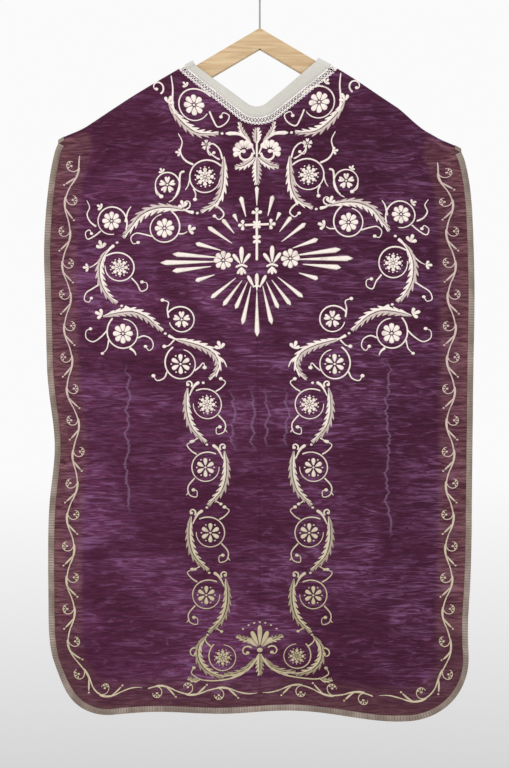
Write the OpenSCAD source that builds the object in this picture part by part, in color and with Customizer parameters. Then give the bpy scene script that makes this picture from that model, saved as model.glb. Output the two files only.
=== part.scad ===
// Roman ("fiddleback") chasuble on a mitred wooden hanger.
// Origin: where the hook bears on its rail. +Z is up, and the embroidered back faces -Y.
// The vestment is a laminate: silk face, stiff canvas, lining. It folds over the hanger's arms
// at the shoulders, and its back and front panels hang from a fold line just below them.

/* [Hanger] */
// Height from the rail down to the top of the mitre
drop_to_apex = 105; // [90:1:120]
// Slope of both arms, in degrees below level
arm_slope = 30.5; // [29.5:0.1:31]
// Reach of each arm from the middle, along X
arm_reach = 232; // [225:1:280]
// Width of the batten, square to its edges
batten_w = 30; // [26:1:34]
// Thickness of the batten
batten_t = 18; // [14:1:24]
// Diameter of the hook wire
wire_d = 3.2; // [2.6:0.1:3.8]
// Radius of the hook, to the middle of the wire
hook_r = 20; // [17:1:24]

/* [Vestment] */
// Half of the width across the back
back_half_w = 362; // [350:1:375]
// Height of the back hem below the rail
back_hem = 1280; // [1240:1:1320]
// Half of the width across the front at its hem
front_half_w = 300; // [280:1:320]
// Height of the front hem below the rail
front_hem = 1215; // [1180:1:1240]
// Half of the width across the shoulders
shoulder_half_w = 338; // [330:1:344]
// Half of the neck opening's width at the shoulders
neck_half_w = 108; // [104:1:116]
// Depth of the back neckline below the rail
back_neck = 241; // [235:1:250]
// Depth of the front neckline below the rail
front_neck = 290; // [280:1:292]
// Height of the line at which both panels fold, below the rail
fold_line = 328; // [326:1:330]

/* [Trim] */
// Width of the linen neck guard
linen_w = 18; // [14:1:20]
// Width of the lace sewn to the linen
lace_w = 13; // [10:1:14]
// Width of the galloon on each face of the edge
galloon_w = 9; // [7:1:11]
// Height of the silver embroidery above the silk
relief = 1.5; // [1:0.1:2]
// Distance from the vestment's edge to the middle of the border vine
vine_inset = 37; // [32:1:40]

/* [Hidden] */
$fn = 48;

silver = "#ded6c8";
tarnished = "#b9ab92";
violet = "#5c3050";
lining_red = "#6e4a52";

silk_t = 0.8;
canvas_t = 1.6;
lining_t = 0.6;
layers = silk_t + canvas_t + lining_t;
half_depth = batten_t / 2 + layers + 3;
fold_gap = 2;                    // the panels stop this far short of the line that they fold on
trim_t = 0.8;
air = 0.3;                       // clearance between pieces that move past each other
slope = tan(arm_slope);
shoulder_top = -drop_to_apex + layers / cos(arm_slope) + air;
leg = 8;                         // height of the fold's sides, square to the shoulder line
chamfer = 4;
far = 400;

// ---- hanger -------------------------------------------------------------------------------

wire_r = wire_d / 2;
hook_z = -(hook_r - wire_r);     // middle of the hook's arc
bend = 60;                       // angle at which the arc turns back into the shank
shank_top = hook_z - 2 * hook_r * sin(bend);
under_z = -drop_to_apex - batten_w / cos(arm_slope);
recess_r = 5.5;
recess_d = 12;
recess_top = under_z + recess_d;
head_r = 4;
head_t = 2.4;
washer_t = 1;
head_top = recess_top - washer_t - air;
nail_r = 0.9;
nail_len = 46;
nail_y = 5;

// The hook's line from its tip, over the rail and down to the shank: [x, z, heading in degrees].
hook_line = concat(
    [for (i = [0:26]) let (a = 190 - (190 + bend) * i / 26)
        [hook_r * cos(a), hook_z + hook_r * sin(a), a - 90]],
    [for (i = [1:8]) let (a = 180 - bend + bend * i / 8)
        [hook_r * (2 * cos(bend) + cos(a)), shank_top + hook_r * sin(a), a + 90]]);
wire_sides = 12;
function wire_ring(p) = [for (j = [0:wire_sides - 1]) let (a = 360 * j / wire_sides)
    [p[0] - wire_r * cos(a) * sin(p[2]), wire_r * sin(a), p[1] + wire_r * cos(a) * cos(p[2])]];
module bent_wire() {
    rings = len(hook_line);
    polyhedron(
        [for (p = hook_line) each wire_ring(p)],
        concat(
            [[for (j = [0:wire_sides - 1]) wire_sides - 1 - j]],
            [[for (j = [0:wire_sides - 1]) (rings - 1) * wire_sides + j]],
            [for (i = [0:rings - 2]) for (j = [0:wire_sides - 1]) let (k = (j + 1) % wire_sides)
                [i * wire_sides + j, i * wire_sides + k, (i + 1) * wire_sides + k, (i + 1) * wire_sides + j]]));
}

// The shank is drawn a hair thinner than the hook, so that it turns in its hole.
shank_r = wire_r - 0.1;
module hook_wire() color("#9aa0a4") {
    bent_wire();
    translate([0, 0, head_top]) cylinder(r = shank_r, h = shank_top - head_top + 0.5);
    translate([0, 0, head_top - head_t]) cylinder(r = head_r, h = head_t);
}

module hook_washer() color("#8d9093")
    translate([0, 0, recess_top - washer_t - air / 2]) difference() {
        cylinder(r = head_r + 0.8, h = washer_t - air / 2);
        translate([0, 0, -1]) cylinder(r = wire_r + air / 2, h = washer_t + 2);
    }

// Nails run level through the mitre, one from each side, clear of the hook's hole.
module nail_at(side, z, r, head) {
    entry = (-drop_to_apex - z) / slope - 3;
    mirror([side < 0 ? 1 : 0, 0, 0]) translate([entry, side * nail_y, z]) rotate([0, -90, 0]) {
        cylinder(r = r, h = nail_len);
        translate([0, 0, -head]) cylinder(r = r * 2.2, h = head);
    }
}

module hanger_nails() color("#77706a") {
    nail_at(1, -drop_to_apex - 18, nail_r, 1);
    nail_at(-1, -drop_to_apex - 22, nail_r, 1);
}

module arm_outline() polygon([
    [0, -drop_to_apex],
    [arm_reach, -drop_to_apex - arm_reach * slope],
    [arm_reach - batten_w * sin(arm_slope), -drop_to_apex - arm_reach * slope - batten_w * cos(arm_slope)],
    [0, under_z]
]);

module hanger_arm_right() color("#d5bc97") difference() {
    translate([0, batten_t / 2, 0]) rotate([90, 0, 0]) linear_extrude(batten_t) arm_outline();
    translate([0, 0, under_z - 1]) cylinder(r = wire_r + air / 2, h = batten_w * 2);
    translate([0, 0, under_z - 1]) cylinder(r = recess_r, h = recess_d + 1);
    nail_at(1, -drop_to_apex - 18, nail_r + 0.05, 30);
    nail_at(-1, -drop_to_apex - 22, nail_r + 0.05, 30);
}

module hanger_arm_left() color("#d5bc97") difference() {
    mirror([1, 0, 0]) translate([0, batten_t / 2, 0]) rotate([90, 0, 0]) linear_extrude(batten_t) arm_outline();
    translate([0, 0, under_z - 1]) cylinder(r = wire_r + air / 2, h = batten_w * 2);
    translate([0, 0, under_z - 1]) cylinder(r = recess_r, h = recess_d + 1);
    nail_at(1, -drop_to_apex - 18, nail_r + 0.05, 30);
    nail_at(-1, -drop_to_apex - 22, nail_r + 0.05, 30);
}

// ---- outlines, all in the XZ plane ------------------------------------------------------------

function shoulder_z(x) = shoulder_top - slope * x;
function arc_points(c, r, a0, a1, n) =
    [for (i = [0:n]) let (a = a0 + (a1 - a0) * i / n) c + r * [cos(a), sin(a)]];
function flip(points) = [for (i = [len(points) - 1:-1:0]) [-points[i][0], points[i][1]]];

// Neck opening grown by d: two straight sides that leave the shoulders and run tangent to a round bottom.
function neck_slope(bottom, r) =
    let (b = shoulder_z(neck_half_w) + bottom - r) atan2(b, neck_half_w) + asin(r / norm([neck_half_w, b]));
function neck_half(bottom, r, d) =
    let (a = neck_slope(bottom, r), c = [0, -bottom + r], end = c + (r + d) * [sin(a), -cos(a)], rise = 220)
    concat(arc_points(c, r + d, 270, 270 + a, 12), [end + rise * [1 / tan(a), 1]]);
module neck_opening(bottom, r, d) {
    side = neck_half(bottom, r, d);
    polygon(concat(side, flip(side)));
}
back_neck_r = 28;
front_neck_r = 50;
module back_opening(d = 0) neck_opening(back_neck, back_neck_r, d);
module front_opening(d = 0) neck_opening(front_neck, front_neck_r, d);

// Right half of each panel below the fold line, from the side round the corner to the hem, inset by d.
panel_top = -fold_line - fold_gap;
yoke_bottom = -fold_line + fold_gap;
back_corner_r = 110;
front_corner_r = 80;
back_side_w = 345;
front_side_w = 331;
function back_half(d) = concat(
    [[back_side_w - d, panel_top], [355 - d, -372], [back_half_w - d, -440]],
    arc_points([back_half_w - back_corner_r, -back_hem + back_corner_r], back_corner_r - d, 0, -90, 12),
    [[0, -back_hem + d]]);
waist_half_w = 238;
waist_drop = 252;
function front_half(d) = concat(
    [[front_side_w - d, panel_top]],
    [for (i = [1:10]) let (t = i / 10)
        [front_side_w + (waist_half_w - front_side_w) * sin(90 * t) - d, panel_top - waist_drop * t]],
    [[front_half_w - 14 - d, -front_hem + 260], [front_half_w - d, -front_hem + front_corner_r]],
    arc_points([front_half_w - front_corner_r, -front_hem + front_corner_r], front_corner_r - d, -8, -90, 10),
    [[0, -front_hem + d]]);
module back_panel_half(d = 0) polygon(concat([[0, panel_top]], back_half(d)));
module front_panel_half(d = 0) polygon(concat([[0, panel_top]], front_half(d)));
module both_halves() {
    children();
    mirror([1, 0]) children();
}

// Right half of the flat part of the yoke, between the shoulder fold and the line that the panel folds on.
flat_drop = leg / cos(arm_slope);
module yoke_half(side_w, overlap = 0) polygon([
    [0, shoulder_top - flat_drop + overlap],
    [shoulder_half_w, shoulder_z(shoulder_half_w) - flat_drop + overlap],
    [side_w, yoke_bottom],
    [0, yoke_bottom]
]);

// ---- layers ---------------------------------------------------------------------------------

// A flat layer on the back face, from o1 to o2 below the silk's outer face.
module layer(o1, o2) translate([0, -(half_depth - o2), 0]) rotate([90, 0, 0]) linear_extrude(o2 - o1) children();
module front() mirror([0, 1, 0]) children();
module left() mirror([1, 0, 0]) children();

// The fold over the right arm, between the same two depths.
function fold_edge(o) = [
    [-half_depth + o, -leg],
    [-half_depth + o, -chamfer - 0.4142 * o],
    [-half_depth + chamfer + 0.4142 * o, -o]
];
function across(points) = [for (i = [len(points) - 1:-1:0]) [-points[i][0], points[i][1]]];
module shoulder_fold(o1, o2, x1, x2) intersection() {
    translate([0, 0, shoulder_top]) rotate([0, arm_slope, 0]) rotate([90, 0, 90]) linear_extrude(far + 60)
        polygon(concat(fold_edge(o1), across(fold_edge(o1)), fold_edge_back(o2)));
    translate([x1, -far / 2, -far]) cube([x2 - x1, far, far]);
}
function fold_edge_back(o) =
    let (e = concat(fold_edge(o), across(fold_edge(o)))) [for (i = [len(e) - 1:-1:0]) e[i]];

canvas_o = silk_t;
lining_o = silk_t + canvas_t;

module yoke_back_flat(o1, o2) layer(o1, o2) difference() {
    both_halves() yoke_half(back_side_w);
    back_opening();
}
module yoke_front_flat(o1, o2) front() layer(o1, o2) difference() {
    both_halves() yoke_half(front_side_w);
    front_opening();
}

seam_overlap = 0.4;              // the silk's flat and folded parts run into each other by this much

// The silk of the back runs over each shoulder, and its seam to the front silk lies just behind it.
module yoke_silk_right() color(violet) {
    layer(0, silk_t) difference() {
        yoke_half(back_side_w, seam_overlap);
        back_opening();
    }
    shoulder_fold(0, silk_t, neck_half_w, shoulder_half_w);
}
module yoke_silk_left() left() yoke_silk_right();
module yoke_silk_front() color(violet) yoke_front_flat(0, silk_t);
module yoke_canvas_back() color("#c9bfa8") yoke_back_flat(canvas_o, lining_o);
module yoke_canvas_front() color("#c9bfa8") yoke_front_flat(canvas_o, lining_o);
module shoulder_canvas_right() color("#c9bfa8") shoulder_fold(canvas_o, lining_o, neck_half_w, shoulder_half_w);
module shoulder_canvas_left() left() shoulder_canvas_right();
module yoke_lining_back() color(lining_red) yoke_back_flat(lining_o, layers);
module yoke_lining_front() color(lining_red) yoke_front_flat(lining_o, layers);
module shoulder_lining_right() color(lining_red) shoulder_fold(lining_o, layers, neck_half_w, shoulder_half_w);
module shoulder_lining_left() left() shoulder_lining_right();

module back_silk_right() color(violet) layer(0, silk_t) back_panel_half();
module back_silk_left() left() back_silk_right();
module back_canvas() color("#c9bfa8") layer(canvas_o, lining_o) both_halves() back_panel_half();
module back_lining() color(lining_red) layer(lining_o, layers) both_halves() back_panel_half();
module front_silk_right() color(violet) front() layer(0, silk_t) front_panel_half();
module front_silk_left() left() front_silk_right();
module front_canvas() color("#c9bfa8") front() layer(canvas_o, lining_o) both_halves() front_panel_half();
module front_lining() color(lining_red) front() layer(lining_o, layers) both_halves() front_panel_half();

// ---- edge and neck trim ------------------------------------------------------------------------

// The galloon is folded round the raw edge: a strip on each face and a rim between them.
module back_galloon() color("#8f8779") difference() {
    layer(-trim_t, layers + trim_t) both_halves() back_panel_half(-trim_t);
    layer(0, layers) both_halves() back_panel_half();
    layer(-2, layers + 2) both_halves() back_panel_half(galloon_w);
}
module front_galloon() color("#8f8779") front() difference() {
    layer(-trim_t, layers + trim_t) both_halves() front_panel_half(-trim_t);
    layer(0, layers) both_halves() front_panel_half();
    layer(-2, layers + 2) both_halves() front_panel_half(galloon_w);
}
module shoulder_edge(side_w) polygon([
    [shoulder_half_w - galloon_w, shoulder_z(shoulder_half_w - galloon_w) - flat_drop],
    [shoulder_half_w, shoulder_z(shoulder_half_w) - flat_drop],
    [side_w, yoke_bottom],
    [side_w - galloon_w, yoke_bottom]
]);
module shoulder_galloon_right() color("#8f8779") {
    layer(-trim_t, 0) shoulder_edge(back_side_w);
    front() layer(-trim_t, 0) shoulder_edge(front_side_w);
    shoulder_fold(-trim_t, 0, shoulder_half_w - galloon_w, shoulder_half_w);
}
module shoulder_galloon_left() left() shoulder_galloon_right();

module neck_linen_back() color("#c9c5bd") layer(-trim_t, 0) intersection() {
    both_halves() yoke_half(back_side_w);
    difference() {
        back_opening(linen_w);
        back_opening();
    }
}
module neck_linen_front() color("#c9c5bd") front() layer(-trim_t, 0) intersection() {
    both_halves() yoke_half(front_side_w);
    difference() {
        front_opening(linen_w);
        front_opening();
    }
}
linen_end = neck_half_w + linen_w * 1.3;
lace_end = linen_end + lace_w * 1.3;
module neck_linen_shoulders() color("#c9c5bd") {
    shoulder_fold(-trim_t, 0, neck_half_w, linen_end);
    left() shoulder_fold(-trim_t, 0, neck_half_w, linen_end);
}
module neck_lace_back() color(silver) layer(-trim_t, 0) intersection() {
    both_halves() yoke_half(back_side_w);
    difference() {
        back_opening(linen_w + lace_w);
        back_opening(linen_w);
    }
}
module neck_lace_front() color(silver) front() layer(-trim_t, 0) intersection() {
    both_halves() yoke_half(front_side_w);
    difference() {
        front_opening(linen_w + lace_w);
        front_opening(linen_w);
    }
}
module neck_lace_shoulders() color(silver) {
    shoulder_fold(-trim_t, 0, linen_end, lace_end);
    left() shoulder_fold(-trim_t, 0, linen_end, lace_end);
}

// ---- embroidery -----------------------------------------------------------------------------

module rosette(r, petals) polygon([for (i = [0:petals * 6 - 1]) let (a = i * 60 / petals)
    r * (0.72 + 0.28 * cos(petals * a)) * [cos(a), sin(a)]]);
module crescent(r, w, span) polygon(concat(
    [for (i = [0:8]) let (a = span * (i / 8 - 0.5)) (r + w * sin(180 * i / 8) + 0.01) * [cos(a), sin(a)]],
    [for (i = [8:-1:0]) let (a = span * (i / 8 - 0.5)) (r - 0.6) * [cos(a), sin(a)]]));
// One scroll: a ring of vine round a flower, with an acanthus leaf outside it on the side that a faces.
module scroll(r, a, petals) {
    difference() {
        circle(r + 1.2);
        circle(r - 1.2);
    }
    rosette(r * 0.52, petals);
    rotate(a) crescent(r + 3, 8, 150);
}
module scrolls(list) for (s = list) translate([s[0], s[1]]) scroll(s[2], s[3], s[4]);
module stitched() layer(-relief, 0) children();

// Each scroll is [x, z, ring radius, side of its leaf, petals], on the right half.
cross_scroll = [
    [89, -358, 24, 180, 10], [155, -370, 20, 270, 5], [245, -428, 23, 135, 8], [157, -440, 25, 90, 8],
    [230, -510, 24, 0, 10], [228, -625, 25, 90, 8], [130, -603, 20, 190, 5], [132, -677, 25, 60, 6]
];
column_scroll = [
    [84, -745, 24, 0, 10], [91, -854, 24, 180, 6], [85, -965, 24, 0, 6],
    [90, -1070, 24, 180, 6], [63, -1177, 24, 270, 10]
];
pillar_scroll =
    [for (i = [0:6]) let (even = i % 2 == 0) [even ? 84 : 91, -392 - 110 * i, 24, even ? 0 : 180, even ? 10 : 6]];

module neck_scrolls_back() color(silver) stitched() both_halves() scrolls([[148, -268, 20, 225, 7]]);
module neck_scrolls_front() color(silver) front() stitched() both_halves() scrolls([[162, -275, 20, 225, 7]]);
module cross_scrolls_right() color(silver) stitched() scrolls(cross_scroll);
module cross_scrolls_left() left() cross_scrolls_right();
module column_scrolls_right() color(silver) stitched() scrolls(column_scroll);
module column_scrolls_left() left() column_scrolls_right();
module pillar_scrolls_right() color(silver) front() stitched() scrolls(pillar_scroll);
module pillar_scrolls_left() left() pillar_scrolls_right();

// Rays of the sunburst, [angle, inner radius, outer radius], widest near the outer end.
sunburst_z = -500;
side_rays = [
    [75, 72, 112], [63, 68, 90], [51, 46, 95], [36, 45, 104],
    [18, 72, 110], [6, 64, 146], [0, 64, 167], [-8, 80, 146],
    [-20, 78, 112], [-39, 40, 102], [-53, 42, 99], [-65, 44, 90], [-77, 64, 115]
];
module ray(a, r1, r2) rotate(a) polygon([
    [r1, -0.5], [r2 - 0.14 * (r2 - r1), -2.6], [r2, 0.4], [r2 - 0.1 * (r2 - r1), 2.6], [r1, 0.5]
]);
module sunburst_rays() color(silver) stitched() translate([0, sunburst_z]) {
    both_halves() for (s = side_rays) ray(s[0], s[1], s[2]);
    ray(90, 92, 127);
    ray(-90, 66, 131);
}
// A plain cross with a trefoil at each end, and a quatrefoil on each side of its foot.
module trefoil(a) rotate(a) {
    translate([0, 3]) circle(3.4);
    translate([-4.2, -1.4]) circle(3);
    translate([4.2, -1.4]) circle(3);
}
module sunburst_cross() color(silver) stitched() translate([0, sunburst_z]) union() {
    translate([-2, -30]) square([4, 104]);
    translate([-20, 52]) square([40, 4]);
    translate([0, 78]) trefoil(0);
    translate([-23, 54]) trefoil(90);
    translate([23, 54]) trefoil(-90);
    translate([0, -34]) trefoil(180);
    both_halves() translate([38, 0]) rosette(13, 4);
}
module base_palmette() color(tarnished) stitched() translate([0, -1160]) {
    for (a = [30, 60, 90, 120, 150]) rotate(a) polygon([[8, -1], [26, -4], [38, 0], [26, 4], [8, 1]]);
    circle(6);
    both_halves() for (i = [0:2]) translate([12 + 7 * i, 38 - 2 * i]) circle(2);
}

// The border vine: leaves that lie by turns on either side of a line inset from the edge.
vine_step = 53;
module vine_leaf(p, heading, turn) translate(p) rotate(heading) mirror([0, turn]) {
    translate([0, -22]) rotate(90) crescent(24, 4, 105);
    translate([0, -7]) circle(4);
}
module vine_run(a, b, n) for (i = [0:n - 1])
    vine_leaf(a + (b - a) * (i + 0.5) / n, atan2(b[1] - a[1], b[0] - a[0]), i % 2);
module back_vine_side() stitched()
    vine_run([back_half_w - vine_inset, -395], [back_half_w - vine_inset, -395 - 14 * vine_step], 14);
module back_vine_right() color(tarnished) back_vine_side();
module back_vine_left() color(tarnished) left() back_vine_side();
module back_vine_hem() color(tarnished) stitched()
    vine_run([-4.5 * vine_step, -back_hem + vine_inset], [4.5 * vine_step, -back_hem + vine_inset], 9);
module front_vine_side() front() stitched()
    vine_run([waist_half_w - vine_inset, -560], [front_half_w - vine_inset - 8, -560 - 10 * vine_step], 10);
module front_vine_right() color(tarnished) front_vine_side();
module front_vine_left() color(tarnished) left() front_vine_side();
module front_vine_hem() color(tarnished) front() stitched()
    vine_run([-3.5 * vine_step, -front_hem + vine_inset], [3.5 * vine_step, -front_hem + vine_inset], 7);

// ---- what is drawn --------------------------------------------------------------------------

hook_wire();
hook_washer();
hanger_arm_left();
hanger_arm_right();
hanger_nails();
yoke_silk_left();
yoke_silk_right();
yoke_silk_front();
yoke_canvas_back();
yoke_canvas_front();
shoulder_canvas_left();
shoulder_canvas_right();
yoke_lining_back();
yoke_lining_front();
shoulder_lining_left();
shoulder_lining_right();
neck_linen_back();
neck_linen_front();
neck_linen_shoulders();
neck_lace_back();
neck_lace_front();
neck_lace_shoulders();
shoulder_galloon_left();
shoulder_galloon_right();
neck_scrolls_back();
neck_scrolls_front();
back_silk_left();
back_silk_right();
back_canvas();
back_lining();
back_galloon();
cross_scrolls_left();
cross_scrolls_right();
column_scrolls_left();
column_scrolls_right();
sunburst_rays();
sunburst_cross();
base_palmette();
back_vine_left();
back_vine_right();
back_vine_hem();
front_silk_left();
front_silk_right();
front_canvas();
front_lining();
front_galloon();
pillar_scrolls_left();
pillar_scrolls_right();
front_vine_left();
front_vine_right();
front_vine_hem();
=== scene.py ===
# %% [markdown]
# # A Roman-cut chasuble on its hanger
#
# A chasuble is the outer vestment of the priest. The Roman cut is stiff: silk, canvas and lining
# are sewn into one board-like cloth, so it hangs almost flat and shows its silver embroidery like
# a panel. Every piece here is drawn flat first, on a plan in millimetres, and one function then
# lays the plan on the hanging cloth. So silk, braid and embroidery always fit each other.

import bpy
import numpy as np
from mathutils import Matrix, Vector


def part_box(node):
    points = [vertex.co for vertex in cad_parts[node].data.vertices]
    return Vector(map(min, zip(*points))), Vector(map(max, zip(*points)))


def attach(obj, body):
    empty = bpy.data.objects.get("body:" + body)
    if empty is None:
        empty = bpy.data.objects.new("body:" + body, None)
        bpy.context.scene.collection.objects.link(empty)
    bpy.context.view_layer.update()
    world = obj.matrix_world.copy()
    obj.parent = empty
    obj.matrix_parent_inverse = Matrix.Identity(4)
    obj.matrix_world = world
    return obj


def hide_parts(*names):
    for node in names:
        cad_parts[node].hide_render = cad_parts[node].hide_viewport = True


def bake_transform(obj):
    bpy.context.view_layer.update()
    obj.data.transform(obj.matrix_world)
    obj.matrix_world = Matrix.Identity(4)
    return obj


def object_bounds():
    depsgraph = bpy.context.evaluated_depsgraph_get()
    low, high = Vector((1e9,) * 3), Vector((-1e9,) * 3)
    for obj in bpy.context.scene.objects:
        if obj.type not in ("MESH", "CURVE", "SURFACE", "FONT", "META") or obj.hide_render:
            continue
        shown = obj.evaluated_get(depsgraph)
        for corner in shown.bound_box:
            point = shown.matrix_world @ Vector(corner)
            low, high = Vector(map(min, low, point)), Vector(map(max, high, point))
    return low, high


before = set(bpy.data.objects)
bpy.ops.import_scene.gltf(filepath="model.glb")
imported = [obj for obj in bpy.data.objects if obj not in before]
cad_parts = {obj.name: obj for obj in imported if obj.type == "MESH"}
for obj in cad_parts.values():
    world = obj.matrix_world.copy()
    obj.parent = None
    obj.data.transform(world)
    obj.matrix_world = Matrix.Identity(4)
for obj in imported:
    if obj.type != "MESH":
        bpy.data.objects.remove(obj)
cad_low, cad_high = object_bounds()
MM = 0.001
print("frame box, mm:", [round(v / MM) for v in (*cad_low, *cad_high)])

# %% [markdown]
# ## Camera and light
#
# A long lens looks straight at the middle of the cloth, so its straight seams stay straight.
# The world is a soft white that falls off towards the floor, as in a studio with a paper roll,
# and one large lamp from the upper left gives the silk its highlights and the stitches a shadow.
# A weaker, bluer lamp on the right keeps that shadow soft. The floor is made last of all.

# %% Camera
VIEW_CENTRE = (-0.009, -0.712)  # x and z of the picture's middle
VIEW_DISTANCE = 3.083           # from the lens to the cloth
camera = bpy.data.objects.new("camera", bpy.data.cameras.new("camera"))
bpy.context.collection.objects.link(camera)
camera.data.lens = 85
camera.data.sensor_width = 36
camera.location = (VIEW_CENTRE[0], cad_low.y - VIEW_DISTANCE, VIEW_CENTRE[1])
camera.rotation_euler = (np.pi / 2, 0, 0)
bpy.context.scene.camera = camera
bpy.context.scene.view_settings.view_transform = "Standard"
print("camera at", [round(v, 3) for v in camera.location])

# %% Lamps and world
def track(way):
    """The turn that points an object's -Z along way: first tilt about X, then turn about Z."""
    flat = np.hypot(way[0], way[1])
    return (np.arctan2(flat, -way[2]), 0, np.arctan2(-way[0], way[1]))


def lamp(name, place, size, power, colour):
    """A square area lamp at place, in metres, turned towards the middle of the cloth."""
    data = bpy.data.lights.new(name, "AREA")
    data.size, data.energy, data.color = size, power, colour
    thing = bpy.data.objects.new(name, data)
    bpy.context.collection.objects.link(thing)
    thing.location = place
    thing.rotation_euler = track(np.array((0, 0, VIEW_CENTRE[1])) - np.array(place))


lamp("key lamp", (-1.9, -2.6, 0.9), 1.2, 34, (1.0, 0.98, 0.95))
lamp("fill lamp", (2.4, -2.2, -0.3), 2.0, 10, (0.93, 0.95, 1.0))

world = bpy.data.worlds.new("studio")
bpy.context.scene.world = world
world.use_nodes = True
tree = world.node_tree
direction = tree.nodes.new("ShaderNodeTexCoord")
height = tree.nodes.new("ShaderNodeSeparateXYZ")
fade = tree.nodes.new("ShaderNodeMapRange")
fade_heights = {"From Min": -0.21, "From Max": -0.05}   # z of the direction of view, a little below level
fade_whites = {"To Min": 0.66, "To Max": 0.96}          # the white there, from grey to nearly full
for key, value in {**fade_heights, **fade_whites}.items():
    fade.inputs[key].default_value = value
tree.links.new(direction.outputs["Generated"], height.inputs[0])
tree.links.new(height.outputs["Z"], fade.inputs["Value"])
tree.links.new(fade.outputs[0], tree.nodes["Background"].inputs["Color"])
print("lamps:", [light.name for light in bpy.data.lights])

# %% [markdown]
# ## Node helpers
#
# A material is a small graph. These helpers add one node each and join it, so that a material's
# own cell reads like a recipe: what drives the colour, what drives the roughness, what is relief.

# %% Node helpers
class Recipe:
    """A material with its Principled shader, and short calls that add nodes to it."""

    def __init__(self, name, **settings):
        self.material = bpy.data.materials.new(name)
        self.material.use_nodes = True
        self.tree = self.material.node_tree
        self.shader = self.tree.nodes["Principled BSDF"]
        self.place = self.tree.nodes.new("ShaderNodeTexCoord").outputs["Object"]
        for key, value in settings.items():
            self.shader.inputs[key.replace("_", " ")].default_value = value

    def put(self, socket, value):
        """Joins value to socket if it is another socket, and else sets it there."""
        if isinstance(value, bpy.types.NodeSocket):
            self.tree.links.new(value, socket)
        elif value is not None:
            socket.default_value = value

    def stretched(self, scale, turn=(0, 0, 0), source=None):
        """The object's own coordinates, in metres, times scale along each axis."""
        node = self.tree.nodes.new("ShaderNodeMapping")
        self.put(node.inputs["Vector"], source or self.place)
        node.inputs["Scale"].default_value = scale
        node.inputs["Rotation"].default_value = turn
        return node.outputs[0]

    def noise(self, vector, detail=3, rough=0.55, bend=0):
        """Cloudy noise from 0 to 1."""
        node = self.tree.nodes.new("ShaderNodeTexNoise")
        self.put(node.inputs["Vector"], vector)
        node.inputs["Scale"].default_value = 1
        node.inputs["Detail"].default_value = detail
        node.inputs["Roughness"].default_value = rough
        node.inputs["Distortion"].default_value = bend
        return node.outputs[0]

    def wave(self, vector, scale, axis="X", bend=0):
        """Sine bands across one axis."""
        node = self.tree.nodes.new("ShaderNodeTexWave")
        node.bands_direction = axis
        self.put(node.inputs["Vector"], vector)
        node.inputs["Scale"].default_value = scale
        node.inputs["Distortion"].default_value = bend
        return node.outputs["Fac"]

    def part(self, vector, axis):
        """One coordinate of a vector."""
        node = self.tree.nodes.new("ShaderNodeSeparateXYZ")
        self.put(node.inputs[0], vector)
        return node.outputs[axis]

    def sum(self, a, b, kind="ADD"):
        """Arithmetic on two values."""
        node = self.tree.nodes.new("ShaderNodeMath")
        node.operation = kind
        self.put(node.inputs[0], a)
        self.put(node.inputs[1], b)
        return node.outputs[0]

    def span(self, value, low, high, first=0.0, last=1.0, smooth=True):
        """value carried from low..high to first..last, and held at the ends."""
        node = self.tree.nodes.new("ShaderNodeMapRange")
        node.interpolation_type = "SMOOTHSTEP" if smooth else "LINEAR"
        self.put(node.inputs["Value"], value)
        for key, number in zip(("From Min", "From Max", "To Min", "To Max"), (low, high, first, last)):
            node.inputs[key].default_value = number
        return node.outputs[0]

    def blend(self, amount, one, two, kind="MIX"):
        """Colour one turning to colour two as amount goes from 0 to 1."""
        node = self.tree.nodes.new("ShaderNodeMix")
        node.data_type, node.blend_type = "RGBA", kind
        self.put(node.inputs[0], amount)
        self.put(node.inputs[6], one)
        self.put(node.inputs[7], two)
        return node.outputs[2]

    def attribute(self, name):
        """A number that the mesh carries at each of its points."""
        node = self.tree.nodes.new("ShaderNodeAttribute")
        node.attribute_name = name
        return node.outputs["Fac"]

    def finish(self, colour=None, rough=None, relief=(), depth=0.0005):
        """Joins the colour, roughness and relief to the shader; relief is a list of heights."""
        self.put(self.shader.inputs["Base Color"], colour)
        self.put(self.shader.inputs["Roughness"], rough)
        normal = None
        for value, strength in relief:
            bump = self.tree.nodes.new("ShaderNodeBump")
            bump.inputs["Distance"].default_value = depth
            bump.inputs["Strength"].default_value = strength
            self.put(bump.inputs["Height"], value)
            if normal is not None:
                self.put(bump.inputs["Normal"], normal)
            normal = bump.outputs[0]
        self.put(self.shader.inputs["Normal"], normal)
        return self.material


def tint(red, green, blue):
    """A colour from 0..255 screen values to the linear light that Blender mixes."""
    screen = np.array((red, green, blue)) / 255
    linear = np.where(screen > 0.04045, ((screen + 0.055) / 1.055) ** 2.4, screen / 12.92)
    return (*linear.tolist(), 1.0)


print("violet as light:", [round(v, 3) for v in tint(90, 52, 76)[:3]])

# %% [markdown]
# ## The silk's finish
#
# Old watered silk is never one colour. Its thick weft shows as short level wrinkles, with a painted
# highlight on their crests and painted shade in their hollows. Large clouds of painted bluish sheen
# lie where the nap is raised, painted shade darkens the side away from the key lamp, the outer border
# is faded to a redder brown, and damp has left wavy tide marks. The wrinkles are relief as well as
# colour.

# %% Silk
# Each tide mark is (x of its middle, half of its width, lowest z, highest z), in metres; one with
# no width is a single wavy line, and the others are tongues with a line all round their foot.
TIDE_MARKS = [(-0.225, 0, -0.93, -0.67), (0.219, 0, -0.97, -0.66),
              (-0.028, 0.017, -0.824, -0.71), (0.029, 0.017, -0.818, -0.71)]


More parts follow.
